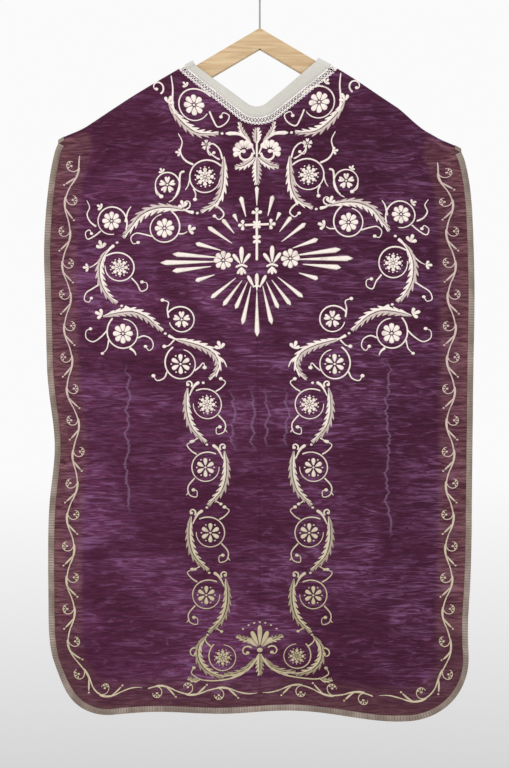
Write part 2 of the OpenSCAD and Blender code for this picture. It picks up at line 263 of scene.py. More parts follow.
def silk_finish():
    """Violet corded silk: level weft wrinkles with painted highlights and painted shade, clouds of
    painted sheen, painted shade away from the key lamp, a faded border and tide marks.
    """
    r = Recipe("violet silk", Specular_IOR_Level=0.14, Sheen_Weight=0.03, Sheen_Roughness=0.4)
    r.shader.inputs["Sheen Tint"].default_value = tint(190, 165, 215)
    weft = r.noise(r.stretched((26, 26, 330)), detail=5, rough=0.62, bend=0.6)
    wrinkle = r.noise(r.stretched((14, 14, 105)), detail=5, rough=0.64, bend=2.4)
    slant = r.noise(r.stretched((20, 20, 88), (0, 0.5, 0)), detail=4, rough=0.6, bend=1.8)
    cloud = r.noise(r.stretched((4.2, 4.2, 7)), detail=4, rough=0.6, bend=0.8)
    base = r.blend(r.span(cloud, 0.32, 0.7), tint(70, 16, 48), tint(99, 40, 80))
    # Painted shade: the silk darkens towards +X, the side away from the key lamp.
    base = r.blend(r.span(r.part(r.place, "X"), -0.15, 0.25, 0, 0.6), base, tint(60, 12, 42))
    # Painted highlight: pale violet on the crests of the wrinkles, strongest inside the clouds, and a second
    # one along the slanting wrinkles.
    shine = r.sum(r.span(wrinkle, 0.46, 0.66), r.span(cloud, 0.38, 0.66, 0.12, 0.8), "MULTIPLY")
    base = r.blend(shine, base, tint(144, 98, 144))
    base = r.blend(r.span(slant, 0.55, 0.7, 0, 0.5), base, tint(134, 84, 128))
    # Painted shade: near-black violet in the hollows of the wrinkles.
    base = r.blend(r.span(wrinkle, 0.3, 0.48, 0.6, 0), base, tint(38, 9, 27))
    base = r.blend(r.span(weft, 0.3, 0.7, 0.5, 0), base, tint(50, 15, 34))
    # The faded border: its redder brown is the cloth's own, and its lighter tone on the crests of the
    # wrinkles is a painted highlight. It is darker at the very hem.
    worn = r.blend(r.span(wrinkle, 0.35, 0.7), tint(74, 32, 44), tint(130, 88, 93))
    worn = r.blend(r.span(r.part(r.place, "Z"), -1.17, -1.1, 0.6, 0), worn, tint(70, 36, 48))
    base = r.blend(r.attribute("border"), base, worn)
    across, up = r.part(r.place, "X"), r.part(r.place, "Z")
    waver = r.noise(r.stretched((3, 3, 24)), detail=4, rough=0.7)
    waver = r.span(waver, 0.2, 0.8, -0.014, 0.014, smooth=False)
    for middle, half, low, high in TIDE_MARKS:
        off = r.sum(r.sum(r.sum(across, middle, "SUBTRACT"), waver), 0, "ABSOLUTE")
        off = r.sum(off, half, "SUBTRACT")
        if half:
            off = r.sum(off, r.sum(low, up, "SUBTRACT"), "MAXIMUM")
        near = r.span(r.sum(off, 0, "ABSOLUTE"), 0.0004, 0.003, 0.5, 0)
        above, below = r.span(up, low - 0.01, low + 0.02), r.span(up, high - 0.04, high, 1, 0)
        inside = r.sum(above, below, "MULTIPLY")
        base = r.blend(r.sum(near, inside, "MULTIPLY"), base, tint(132, 102, 134))
    rough = r.span(cloud, 0.3, 0.7, 0.62, 0.48)
    return r.finish(base, rough, [(wrinkle, 0.9), (slant, 0.6), (weft, 0.5)], depth=0.0026)


silk = silk_finish()
print("nodes in the silk:", len(silk.node_tree.nodes))

# %% [markdown]
# ## The other cloths, the threads, the wood and the wire
#
# Each gets the pattern of its own making: linen and lining a plain weave of crossed waves, canvas
# the same but coarser, braid a row of ribs, silver thread a fine diagonal lay. The silver darkens
# at the sides of each padded stitch, where no light reaches it, and yellows towards the hem.

# %% Woven cloths
def woven(name, pale, dark, pitch, cloudy=0.5):
    """A plain weave: one set of waves each way, pitch metres apart, and soft clouds of dirt."""
    r = Recipe(name, Sheen_Weight=0.15)
    turns = 0.3 / pitch   # at a scale of 1, a Wave Texture's bands lie about 0.3 apart
    warp = r.wave(r.place, turns, "X", 0.2)
    weft = r.wave(r.place, turns, "Z", 0.2)
    cloth = r.sum(warp, weft, "MULTIPLY")
    cloud = r.noise(r.stretched((11, 11, 11)), detail=4)
    colour = r.blend(r.span(cloud, 0.3, 0.75, cloudy, 0), pale, dark)
    colour = r.blend(r.span(cloth, 0, 0.6, 0.25, 0), colour, dark)
    return r.finish(colour, r.span(cloud, 0.3, 0.7, 0.85, 0.75), [(cloth, 0.5)], depth=pitch / 4)


linen = woven("white linen", tint(214, 212, 206), tint(184, 180, 172), 0.0011)
lining = woven("lining cotton", tint(116, 78, 92), tint(92, 56, 72), 0.0009)
canvas = woven("stiff canvas", tint(206, 192, 162), tint(170, 152, 120), 0.0016)
lace_cotton = woven("lace cotton", tint(255, 252, 248), tint(240, 233, 227), 0.0008, cloudy=0.2)
print("woven:", [cloth.name for cloth in (linen, lining, canvas, lace_cotton)])

# %% Threads and braid
def thread_finish(name, bright, shaded, low_bright, low_shaded, shine):
    """Laid metal thread: fine slanting lines, painted shade on the stitches' flanks, a yellower tone near the
    hem.
    """
    r = Recipe(name, Metallic=shine)
    side = r.attribute("flank")
    down = r.span(r.part(r.place, "Z"), -1.15, -0.62, 1, 0)
    lay = r.wave(r.stretched((1, 1, 1), (0, 0.7, 0)), 330, "X", 0.4)
    patch = r.noise(r.stretched((60, 60, 60)), detail=3)
    top = r.blend(down, bright, low_bright)
    # under is the painted shade tone that the flanks of the stitches take; random patches and the gaps
    # between the slanting lines take some of it too.
    under = r.blend(down, shaded, low_shaded)
    colour = r.blend(r.span(side, 0.4, 0.95), top, under)
    colour = r.blend(r.span(patch, 0.5, 0.75, 0, 0.35), colour, under)
    colour = r.blend(r.span(lay, 0, 0.5, 0.22, 0), colour, under)
    return r.finish(colour, r.span(patch, 0.3, 0.7, 0.34, 0.5), [(lay, 0.5)], depth=0.0004)


silver = thread_finish("silver thread", tint(250, 240, 232), tint(150, 118, 120),
                       tint(196, 182, 150), tint(92, 68, 56), 0.15)
dull_silver = thread_finish("tarnished thread", tint(212, 190, 182), tint(104, 70, 72),
                            tint(206, 192, 164), tint(88, 62, 52), 0.2)


def braid_finish():
    """Galloon: ribs across the braid from its own length coordinate, greyed in random patches of wear."""
    r = Recipe("metal braid", Metallic=0.25)
    length = r.tree.nodes.new("ShaderNodeUVMap").outputs[0]
    ribs = r.wave(r.stretched((1, 1, 1), source=length), 70, "X", 0.1)
    wear = r.noise(r.stretched((40, 40, 25)), detail=4)
    colour = r.blend(r.span(wear, 0.35, 0.7), tint(124, 108, 98), tint(164, 148, 138))
    colour = r.blend(r.span(ribs, 0, 0.6, 0.5, 0), colour, tint(92, 78, 74))
    return r.finish(colour, r.span(wear, 0.3, 0.7, 0.5, 0.65), [(ribs, 0.6)], depth=0.0006)


braid = braid_finish()
print("metal threads:", silver.name, dull_silver.name, braid.name)

# %% Wood and steel
def wood_finish():
    """Sanded softwood: long rings stretched along the batten, and an orange stain near the top."""
    r = Recipe("pale wood", Specular_IOR_Level=0.35)
    # The noise is stretched along the right batten, whose slope is about 0.53 of a radian.
    grain = r.noise(r.stretched((9, 160, 160), (0, 0.53, 0)), detail=5, rough=0.6, bend=0.8)
    fleck = r.noise(r.stretched((60, 900, 900), (0, 0.53, 0)), detail=2)
    colour = r.blend(r.span(grain, 0.3, 0.7), tint(212, 187, 150), tint(186, 156, 116))
    colour = r.blend(r.span(fleck, 0.55, 0.8, 0, 0.4), colour, tint(168, 134, 96))
    stain = r.span(r.noise(r.stretched((22, 22, 22)), detail=2), 0.52, 0.68, 0, 0.6)
    near_top = r.span(r.part(r.place, "Z"), -0.16, -0.11)
    colour = r.blend(r.sum(stain, near_top, "MULTIPLY"), colour, tint(206, 140, 84))
    rough = r.span(grain, 0.3, 0.7, 0.5, 0.62)
    return r.finish(colour, rough, [(grain, 0.35), (fleck, 0.2)], depth=0.0005)


def steel_finish(name, colour, dark):
    """Drawn wire: lines along its length, with a few darker spots."""
    r = Recipe(name, Metallic=0.6)
    drawn = r.noise(r.stretched((900, 900, 40)), detail=2)
    spots = r.noise(r.stretched((150, 150, 150)), detail=3)
    mixed = r.blend(r.span(spots, 0.55, 0.72, 0, 0.4), colour, dark)
    return r.finish(mixed, r.span(drawn, 0.3, 0.7, 0.42, 0.55), [(drawn, 0.1)], depth=0.0001)


wood = wood_finish()
steel = steel_finish("steel wire", tint(148, 149, 151), tint(110, 108, 106))
for node, finish in {"hook_wire": steel, "hook_washer": steel, "hanger_nails": steel,
                     "hanger_arm_left": wood, "hanger_arm_right": wood}.items():
    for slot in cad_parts[node].material_slots:
        slot.material = finish
print("materials:", len(bpy.data.materials))

# %% [markdown]
# ## The plan of the vestment
#
# The plan is the cloth laid flat, seen from outside, in millimetres: u to the right and z up, with
# z the true height. Its main sizes come from the frame's boxes. A neck opening is two straight
# sides that run tangent to a round bottom; a panel's side is a few points and an arc at its foot.

# %% Sizes from the frame
def corner(node, which, axis):
    """One coordinate of a frame part's box, in millimetres; which is 0 for low and 1 for high."""
    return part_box(node)[which][axis] / MM


FACE = -corner("back_silk_right", 0, 1)      # from the middle of the cloth's depth to the silk
ARM_SLOPE = np.radians(30.5)
LEG = 8.0                                    # height of the fold's sides over the shoulder
DROP = LEG / np.cos(ARM_SLOPE)
NECK_HALF = corner("shoulder_canvas_right", 0, 0)
SHOULDER_TIP = corner("shoulder_canvas_right", 1, 0)
CREST = corner("yoke_silk_right", 1, 2) + NECK_HALF * np.tan(ARM_SLOPE)
BACK_HEM, FRONT_HEM = corner("back_silk_right", 0, 2), corner("front_silk_right", 0, 2)
print("hems", round(BACK_HEM), round(FRONT_HEM))

# %% Shapes of a rise and a hill
def smoothstep(x, low, high):
    """0 below low, 1 above high, and an even S between them; low may be above high."""
    t = np.clip((x - low) / (high - low), 0, 1)
    return t * t * (3 - 2 * t)


def hill(x, centre, half):
    """A bell of height 1 at centre: exp(-((x - centre) / half) squared)."""
    return np.exp(-(((x - centre) / half) ** 2))


def shoulder_line(u):
    """Height of the line where the flat cloth turns into the fold over the hanger's arm."""
    return CREST - np.tan(ARM_SLOPE) * np.abs(u) - DROP


print("shoulder line at the neck and at the tip:", shoulder_line(np.array((NECK_HALF, SHOULDER_TIP))).round())

# %% Curves on the plan
def distances(points):
    """How far along a line of straight pieces each of its points lies."""
    return np.r_[0, np.cumsum(np.hypot(*np.diff(points, axis=0).T))]


def length_of(points):
    """The whole length of a line of straight pieces."""
    return np.hypot(*np.diff(points, axis=0).T).sum()


def resample(points, count):
    """count points evenly spaced along a line of straight pieces."""
    points = np.asarray(points, float)
    along = distances(points)
    at = np.linspace(0, along[-1], count)
    return np.stack([np.interp(at, along, points[:, k]) for k in (0, 1)], 1)


def smooth(points, step=2.0):
    """A Catmull-Rom curve through the points: each piece is the cubic whose slope at a point is
    half of the way from the point before to the point after. It is then spaced evenly."""
    p = np.asarray(points, float)
    p = np.vstack([2 * p[0] - p[1], p, 2 * p[-1] - p[-2]])
    t = np.linspace(0, 1, 13)[:-1, None, None]
    a, b, c, d = p[:-3], p[1:-2], p[2:-1], p[3:]
    square, cube = 2 * a - 5 * b + 4 * c - d, 3 * b - a - 3 * c + d
    curve = 0.5 * (2 * b + (c - a) * t + square * t**2 + cube * t**3)
    curve = np.vstack([curve.transpose(1, 0, 2).reshape(-1, 2), p[-2]])
    return resample(curve, max(5, int(length_of(curve) / step) + 1))


def arc(centre, radius, first, last, step=2.0):
    """Points on a circle from angle first to angle last, in degrees. radius may be a pair, for a
    spiral from one to the other."""
    near, far = radius if np.ndim(radius) else (radius, radius)
    count = max(6, int(abs(np.radians(last - first)) * max(near, far) / step) + 2)
    angle = np.radians(np.linspace(first, last, count))
    reach = np.linspace(near, far, count)
    return np.stack([centre[0] + reach * np.cos(angle), centre[1] + reach * np.sin(angle)], 1)


print("length of a quarter circle of radius 100:", length_of(arc((0, 0), 100, 0, 90)).round(1))

# %% Neck and side edges
def neck_edge(depth, radius, grow, count):
    """The right half of a neck opening grown by grow, from the middle to the shoulder line: an arc
    about the bottom's centre, then its tangent up to the line."""
    top = CREST - np.tan(ARM_SLOPE) * NECK_HALF
    rise = top + depth - radius
    lean = np.arctan2(rise, NECK_HALF) + np.arcsin(radius / np.hypot(rise, NECK_HALF))
    round_part = arc((0, -depth + radius), radius + grow, -90, -90 + np.degrees(lean), 1.0)
    end = round_part[-1]
    run = (shoulder_line(end[0]) - end[1]) / (np.sin(lean) + np.tan(ARM_SLOPE) * np.cos(lean))
    tip = end + run * np.array((np.cos(lean), np.sin(lean)))
    return resample(np.vstack([round_part, tip]), count)


BACK_NECK, FRONT_NECK = (241.0, 28.0), (290.0, 50.0)   # depth below the rail, and bottom radius


def back_side():
    """The right edge of the back, from the shoulder's tip to the middle of the hem. The round foot
    is a quarter circle stretched downwards until it meets the hem."""
    hem, foot_radius, foot_top = BACK_HEM + 7, 108, -1167
    tip = (SHOULDER_TIP, shoulder_line(SHOULDER_TIP))
    side = smooth([tip, (345, -328), (354, -372), (360, -430), (362, -500), (362, -700), (360, -900),
                   (358, -1165)], 4)
    foot = arc((250, foot_top), foot_radius, 0, -90, 4)
    foot[:, 1] = foot_top + (foot[:, 1] - foot_top) * ((hem - foot_top) / -foot_radius)
    return np.vstack([side, foot[1:], [(0, hem)]])


def front_side():
    """The right edge of the front, which is cut away at the arms and widens again to the hem."""
    tip = (SHOULDER_TIP, shoulder_line(SHOULDER_TIP))
    side = smooth([tip, (331, -330), (302, -382), (268, -450), (245, -525), (238, -590), (244, -690),
                   (262, -800), (280, -920), (292, -1040), (298, -1135)], 4)
    foot = arc((218, -1135), 80, 0, -90, 4)
    return np.vstack([side, foot[1:], [(0, FRONT_HEM)]])


def left_of(line):
    """Unit normals on the left of a line's way: its heading turned by a right angle."""
    ahead = np.gradient(line, axis=0)
    ahead /= np.maximum(np.linalg.norm(ahead, axis=1), 1e-9)[:, None]
    return np.stack([-ahead[:, 1], ahead[:, 0]], 1)


def side_normal(line):
    """Unit normals that point from a panel's edge into its cloth, for a line that runs downwards
    on the right and then left along the hem: its right."""
    return -left_of(line)


def inset(line, distance):
    """The edge line moved into the cloth."""
    return line + side_normal(line) * distance


print("neck edge:", neck_edge(*BACK_NECK, 0, 3).round().tolist())

# %% [markdown]
# ## From the plan to the hanging cloth
#
# The cloth isn't flat. It sags a little from the arms, old folds cross it, and its hem wanders.
# One function holds all of it: folds are long bells across a line, creases are narrow ones, and
# a lattice of random heights, smoothly joined, gives the small puckers. The seed is fixed.

# %% Puckers
def pucker(u, z, cell_u, cell_z, seed):
    """Smooth random heights from -1 to 1 on a lattice with the given cell sizes."""
    table = np.random.default_rng(seed).uniform(-1, 1, (256, 256))
    a, b = u / cell_u + 100, z / cell_z + 20000
    i, j = np.floor(a).astype(int), np.floor(b).astype(int)
    s, t = smoothstep(a - i, 0, 1), smoothstep(b - j, 0, 1)

    def row(m):
        """The heights between the two lattice points on each side, m rows up."""
        left, right = table[i % 256, (j + m) % 256], table[(i + 1) % 256, (j + m) % 256]
        return left * (1 - s) + right * s

    return row(0) * (1 - t) + row(1) * t


print("heights across one pucker:", pucker(np.linspace(0, 40, 5), np.zeros(5), 20, 20, 3).round(2))

# %% Folds and relief
# Each fold is (u, z, heading, half of its length, half of its width, height).
BACK_FOLDS = [
    (238, -262, -66, 110, 10, 2.4), (222, -292, -67, 95, 6, -2.2), (276, -300, -64, 90, 9, -1.8),
    (190, -250, -62, 80, 8, 1.2),
    (-232, -275, -124, 120, 10, 2.2), (-262, -340, -118, 110, 9, -1.8), (-190, -270, -120, 90, 9, 0.9),
    (-250, -1090, 38, 150, 20, 3.2), (-215, -1140, 34, 130, 17, -2.6), (-292, -985, 42, 90, 16, 1.8),
    (-170, -1205, 24, 110, 16, 1.8), (-150, -900, -38, 60, 10, 1.2), (-130, -760, -30, 50, 9, -1.0),
    (235, -1110, -36, 150, 22, 3.4), (205, -1165, -30, 130, 17, -2.6), (290, -1010, -44, 90, 16, 1.8),
    (170, -1200, -22, 110, 16, 1.9), (150, -930, 34, 60, 10, 1.0), (140, -800, 28, 50, 9, -0.9),
    (0, -1000, 90, 160, 26, 1.2), (-320, -700, 80, 160, 24, 1.6), (325, -820, 96, 170, 24, 1.5),
]
FRONT_FOLDS = [
    (220, -300, -55, 100, 12, 1.4), (-220, -300, -125, 100, 12, 1.4), (-180, -1050, 40, 120, 20, 2.2),
    (190, -1060, -38, 120, 20, 2.2), (150, -760, -70, 120, 22, 1.4), (-160, -740, -108, 120, 22, 1.4),
]


def relief(u, z, folds):
    """How far the cloth stands out of its flat plane, in millimetres: broad swells, the folds, the
    storage creases and the puckers, all fading out where the cloth meets the shoulder's fold."""
    h = 1.6 * np.sin(u / 118 + 0.5) * np.sin(z / 185 + 1.0) + 1.2
    for u0, z0, heading, length, width, height in folds:
        c, s = np.cos(np.radians(heading)), np.sin(np.radians(heading))
        along, across = (u - u0) * c + (z - z0) * s, (z - z0) * c - (u - u0) * s
        across = across + 5 * pucker(u, z, 60, 60, 3)
        h = h + 1.6 * height * hill(across, 0, width) * np.exp(-((along / length) ** 4))
    for level in (-751, -977):
        h = h - 0.9 * hill(z, level + 3 * np.sin(u / 60), 3.5)
    for line in (-226, 221):
        h = h - 0.8 * hill(u, line + 2.5 * np.sin(z / 75), 3.5) * smoothstep(z, -560, -620)
    h = h + 0.55 * pucker(u, z, 46, 11, 7) + 0.8 * pucker(u, z, 34, 30, 8)
    h = h + 3.2 * np.sin(u / 62 + 0.8) * smoothstep(z, -1010, -1260)
    return np.clip(h, -1.0, 8.5) * smoothstep(shoulder_line(u) - z, 0, 70)


back_relief = relief(np.linspace(-350, 350, 99)[None], np.linspace(-1270, -320, 99)[:, None], BACK_FOLDS)
print("relief of the back, mm:", back_relief.min().round(1), "to", back_relief.max().round(1))

# %% Lay the plan on the hanging cloth
def drift(x, z, back):
    """How the cloth's outline wanders, as (dx, dz): the shoulder sags past the end of the right
    arm, the left side is drawn in, and the hem dips at the right foot."""
    high = smoothstep(z, -470, -300)
    dz = -11.5 * smoothstep(x, 232, 285) * high + 3.5 * smoothstep(x, 300, 335) * high
    dz = dz + 7 * smoothstep(-x, 285, 335) * high
    dz = dz + 8 * hill(x, 140, 75) * smoothstep(z, -340, -230)
    dx = 4 * (smoothstep(x, 300, 335) - smoothstep(-x, 300, 335)) * high
    inner = smoothstep(np.abs(x), 345, 250)
    dx = dx - 5 * inner * smoothstep(z, -950, -550) - 5 * hill(x, -100, 70) * smoothstep(z, -260, -170)
    dz = dz + 5 * hill(x, -190, 80) * smoothstep(z, -330, -230)
    if back:
        dz = dz + 6 * inner * np.sin(x / 150) * hill(z, -440, 110)
        left, right = smoothstep(-x, 60, 350), smoothstep(x, 60, 350)
        dx = dx + left * (13 * hill(z, -815, 85) - 4 * hill(z, -480, 90) + 10 * hill(z, -1205, 45))
        dx = dx - right * (6 * hill(z, -1150, 90) - 2 * hill(z, -560, 100))
        low = smoothstep(z, -1090, -1250)
        dx = dx + 10 * hill(x, 300, 60) * low
        dz = dz + low * (5 * hill(x, 0, 130) - 13 * hill(x, 250, 80) + 3 * np.sin(x / 38))
    else:
        dz = dz + 3 * np.sin(x / 45) * smoothstep(z, -1050, -1190)
    return dx, dz


def lay(u, z, lift, back=True):
    """Plan points, in millimetres, laid on the hanging cloth, in metres. lift is how far a point
    stands out of the silk. The front is the same plan, turned half round."""
    turn = 1 if back else -1
    x = turn * u
    dx, dz = drift(x, z, back)
    out = FACE + relief(u, z, BACK_FOLDS if back else FRONT_FOLDS) + lift
    return np.stack([x + dx, -turn * out, z + dz], -1) * MM


middle = lay(np.zeros(1), np.full(1, -700.0), 0)
print("middle of the back, m:", middle.round(3).tolist())

# %% [markdown]
# ## Meshes from arrays
#
# Every piece is a grid of points, or many small grids. A grid's faces follow from its size alone,
# so both are worked out as whole arrays and handed to Blender in one go.

# %% Mesh building
def grid_faces(rows, columns, wrap=False):
    """The four corners of every cell of a grid, as point numbers; wrap joins the last column to
    the first."""
    across = columns if wrap else columns - 1
    i, j = np.meshgrid(np.arange(rows - 1), np.arange(across), indexing="ij")
    k = (j + 1) % columns
    near, far = i * columns, (i + 1) * columns
    return np.stack([near + j, near + k, far + k, far + j], -1).reshape(-1, 4)


def outward(points, quads, way):
    """The faces, turned over if they look away from way on the whole."""
    a, b, c, d = (points[quads[:, k]] for k in range(4))
    normal = np.cross(c - a, d - b).sum(0)
    return quads if normal @ np.asarray(way, float) > 0 else quads[:, ::-1]


def new_piece(name, points, quads, finish, triangles=None, numbers=None, uv=None):
    """A mesh object from arrays of points, four-sided faces and triangles. numbers are values
    that each point carries, and uv is a pair for each point."""
    triangles = np.zeros((0, 3), int) if triangles is None else triangles
    mesh = bpy.data.meshes.new(name)
    corners = np.r_[quads.ravel(), triangles.ravel()]
    sizes = np.r_[np.full(len(quads), 4), np.full(len(triangles), 3)]
    mesh.vertices.add(len(points))
    mesh.vertices.foreach_set("co", np.asarray(points, np.float32).ravel())
    mesh.loops.add(len(corners))
    mesh.loops.foreach_set("vertex_index", corners.astype(np.int32))
    mesh.polygons.add(len(sizes))
    mesh.polygons.foreach_set("loop_start", np.r_[0, np.cumsum(sizes)[:-1]].astype(np.int32))
    mesh.update(calc_edges=True)
    mesh.polygons.foreach_set("use_smooth", np.ones(len(sizes), bool))
    for key, values in (numbers or {}).items():
        attribute = mesh.attributes.new(key, "FLOAT", "POINT")
        attribute.data.foreach_set("value", np.asarray(values, np.float32))
    if uv is not None:
        layer = mesh.uv_layers.new(name="UVMap")
        layer.data.foreach_set("uv", np.asarray(uv, np.float32)[corners].ravel())
    mesh.materials.append(finish)
    mesh.update()
    piece = bpy.data.objects.new(name, mesh)
    bpy.context.collection.objects.link(piece)
    return piece


def thicken(piece, thickness):
    """Gives a sheet its thickness, inwards from the face that is seen, with closed rims."""
    solid = piece.modifiers.new("thickness", "SOLIDIFY")
    solid.thickness, solid.offset, solid.use_even_offset = thickness * MM, -1, True
    return piece


def hang(piece, back, slot, *nodes):
    """Bakes the piece's placement into its mesh, and hides the nodes that are named, which it stands for.
    slot is not used."""
    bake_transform(piece)
    if nodes:
        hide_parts(*nodes)


print("cells in a grid of 3 by 4 points:", len(grid_faces(3, 4)))

# %% [markdown]
# ## Silk, canvas and lining
#
# Half a panel has four edges: neck and shoulder, side, hem and middle. A Coons patch fills them:
# it adds the blend between the top and bottom edges to the blend between the two sides, and takes
# away what both count twice. Above its shoulder edge the same grid goes on, over the arm.

# %% The cloth's grids
def patch(top, right, bottom, left):
    """A Coons patch between four edges, as an array of rows from the top down."""
    rows, columns = len(left), len(top)
    v, u = np.linspace(0, 1, rows)[:, None, None], np.linspace(0, 1, columns)[None, :, None]
    ruled = (1 - v) * top + v * bottom + (1 - u) * left[:, None] + u * right[:, None]
    corners = (1 - v) * ((1 - u) * top[0] + u * top[-1]) + v * ((1 - u) * bottom[0] + u * bottom[-1])
    return ruled - corners


NECK_RUN, SHOULDER_RUN, SIDE_RUN = 150, 265, 1000   # rough lengths, to share out a grid's cells


def half_plan(back, spacing):
    """The right half of a panel on the plan, and the column at which its shoulder begins. Its
    right edge gives way to its bottom edge in the middle of the foot, where u - z is greatest."""
    neck_columns, shoulder_columns = int(NECK_RUN / spacing), int(SHOULDER_RUN / spacing)
    neck = neck_edge(*(BACK_NECK if back else FRONT_NECK), 0, neck_columns + 1)
    tip = np.array((SHOULDER_TIP, shoulder_line(SHOULDER_TIP)))
    top = np.vstack([neck, resample([neck[-1], tip], shoulder_columns + 1)[1:]])
    edge = back_side() if back else front_side()
    turn = int(np.argmax(edge @ np.array((1.0, -1.0))))
    rows = int(SIDE_RUN / spacing)
    right = resample(edge[:turn + 1], rows)
    bottom = resample(edge[turn:][::-1], len(top))
    left = resample([top[0], bottom[0]], rows)
    return patch(top, right, bottom, left), neck_columns


print("points in the back's half at a spacing of 20:", half_plan(True, 20)[0].shape[:2])

# %% Over the hanger's arm
def on_arm(base, turn, lift, side):
    """Plan points on the shoulder line, carried round a hanger's arm by turn, from 0 at the back to
    pi at the front. The section is a rounded box: powers of the cosine and the sine that keep their
    signs. It leans with the arm, but stands upright at the shoulder's tip."""
    flat = (FACE + lift) * np.sign(np.cos(turn)) * np.abs(np.cos(turn)) ** 0.4
    up = (LEG + lift) * np.sign(np.sin(turn)) * np.abs(np.sin(turn)) ** 0.6
    lean = 1 - smoothstep(base[..., 0], SHOULDER_TIP - 45, SHOULDER_TIP - 4)
    dx, dz = drift(side * base[..., 0], base[..., 1], True)
    x = side * (base[..., 0] + up * np.sin(ARM_SLOPE) * lean) + dx
    z = base[..., 1] + up * np.cos(ARM_SLOPE) + dz
    return np.stack(np.broadcast_arrays(x, -flat, z), -1) * MM


def over_arm(columns, lift, side, low=0.0, high=180.0, steps=15):
    """Rows of points over a hanger's arm, from angle low to high, for plan points on the shoulder
    line; lift is how far outside the silk's face they lie."""
    return on_arm(columns, np.radians(np.linspace(low, high, steps))[:, None], lift, side)


middle_of_arm = over_arm(np.array([(200.0, shoulder_line(200.0))]), 0, 1)[:, 0]
print("depth of the cloth over the arm, m:", np.ptp(middle_of_arm[:, 1]).round(4))

# %% Make the layers
def half_sheet(name, side, back, depth, thickness, spacing, finish, with_arm):
    """Half of one layer: its patch laid on the cloth, with the strip over the arm above it if
    with_arm. side is 1 for the half at +X. Each point carries border, its share of the fading
    near the edge, which the silk reads."""
    plan, start = half_plan(back, spacing)
    mirror = side if back else -side
    u, z = mirror * plan[..., 0], plan[..., 1]
    points = lay(u, z, -depth, back)
    rows, columns = u.shape
    quads = outward(points.reshape(-1, 3), grid_faces(rows, columns), (0, -1 if back else 1, 0))
    points = points.reshape(-1, 3)
    edge = resample(back_side() if back else front_side(), 500)
    gap = np.sqrt(((np.abs(u).ravel()[:, None] - edge[None, :, 0]) ** 2
                   + (z.ravel()[:, None] - edge[None, :, 1]) ** 2).min(1))
    border = smoothstep(gap, 62, 50) * (0.6 + 0.4 * smoothstep(gap, 34, 8))
    if with_arm:
        ring = over_arm(plan[0, start:], -depth, side)
        ring_rows, ring_columns = ring.shape[:2]
        numbers = np.arange(ring_rows * ring_columns).reshape(ring_rows, ring_columns)
        numbers = numbers - ring_columns + len(points)
        numbers[0] = np.arange(start, columns)
        strip = numbers.ravel()[grid_faces(ring_rows, ring_columns)]
        points = np.vstack([points, ring[1:].reshape(-1, 3)])
        border = np.r_[border, np.zeros((ring_rows - 1) * ring_columns)]
        quads = np.vstack([quads, outward(points, strip, (0, 0, 1))])
    piece = new_piece(name, points, quads, finish, numbers={"border": border})
    return thicken(piece, thickness)


SILK_T, CANVAS_T, LINING_T = 0.8, 1.5, 0.6
LAYERS = (("canvas", SILK_T + 0.25, CANVAS_T, canvas),
          ("lining", SILK_T + CANVAS_T + 0.35, LINING_T, lining))
silks, cloths = {}, {}
for word, side in (("left", -1), ("right", 1)):
    silks["back", word] = half_sheet(f"silk_back_{word}", side, True, 0, SILK_T, 3.6, silk, True)
    hang(silks["back", word], True, "silk", f"back_silk_{word}", f"yoke_silk_{word}")
    silks["front", word] = half_sheet(f"silk_front_{word}", side, False, 0, SILK_T, 4.2, silk, False)
    hang(silks["front", word], False, "silk", f"front_silk_{word}")
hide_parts("yoke_silk_front")
print("points in the back's right half:", len(silks["back", "right"].data.vertices))
for back, word in ((True, "back"), (False, "front")):
    for name, depth, thick, finish in LAYERS:
        halves = []
        for half, side in (("left", -1), ("right", 1)):
            halves.append(half_sheet(f"{name}_{word}_{half}", side, back, depth, thick, 5, finish, back))
            hang(halves[-1], back, name)
        cloths[word, name] = halves
        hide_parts(f"{word}_{name}", f"yoke_{name}_{word}")
        if back:
            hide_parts(f"shoulder_{name}_left")
            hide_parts(f"shoulder_{name}_right")

# %% [markdown]
# ## Galloon round the edge
#
# Galloon is a braid of metal thread folded round the raw edge. Its section is a thin U: in from
# the face, round the rim and back along the lining. The U is carried along the panel's edge, and
# each rib is a small swelling of the section, so the braid catches light as the real one does.

# %% Bands along an edge
def band(line, normal, into, lift, back):
    """A ring of points for each point of an edge line: into is how far each lies from the line along
    its normal, into the cloth, and lift how far it stands out."""
    u = line[:, None, 0] + normal[:, None, 0] * into
    z = line[:, None, 1] + normal[:, None, 1] * into
    return lay(u, z, lift, back)


def outward_band(points, back):
    """The faces of a band, turned to face out: its second and third columns look out of the cloth."""
    count, ring = points.shape[:2]
    quads = grid_faces(count, ring, wrap=True)
    flat = points.reshape(-1, 3)
    face = quads.reshape(count - 1, ring, 4)[:, 1:3].reshape(-1, 4)
    a, b, c, d = (flat[face[:, k]] for k in range(4))
    facing = np.cross(c - a, d - b).sum(0)[1] * (-1 if back else 1)
    return quads if facing > 0 else quads[:, ::-1]


def uv_grid(along, across):
    """A pair of coordinates for each point of a grid, from those of its rows and its columns."""
    return np.stack(np.broadcast_arrays(along[:, None], across[None]), -1).reshape(-1, 2)


print("faces of a ring of 4 points carried to 3 places:", len(grid_faces(3, 4, wrap=True)))

# %% Galloon
# The section's corners are (distance into the cloth, lift) pairs, in a ring.
GALLOON = np.array([(9.6, 0.1), (9.4, 0.7), (5, 0.9), (0.5, 0.9), (-0.7, 0.3), (-1.0, -1.5),
                    (-0.7, -3.3), (0.5, -3.8), (5, -3.8), (9, -3.7), (9, -3.1), (0.6, -3.1),
                    (0.3, -1.5), (0.6, 0.1)])
RIB = 4.6   # from one rib of the braid to the next
braids = []


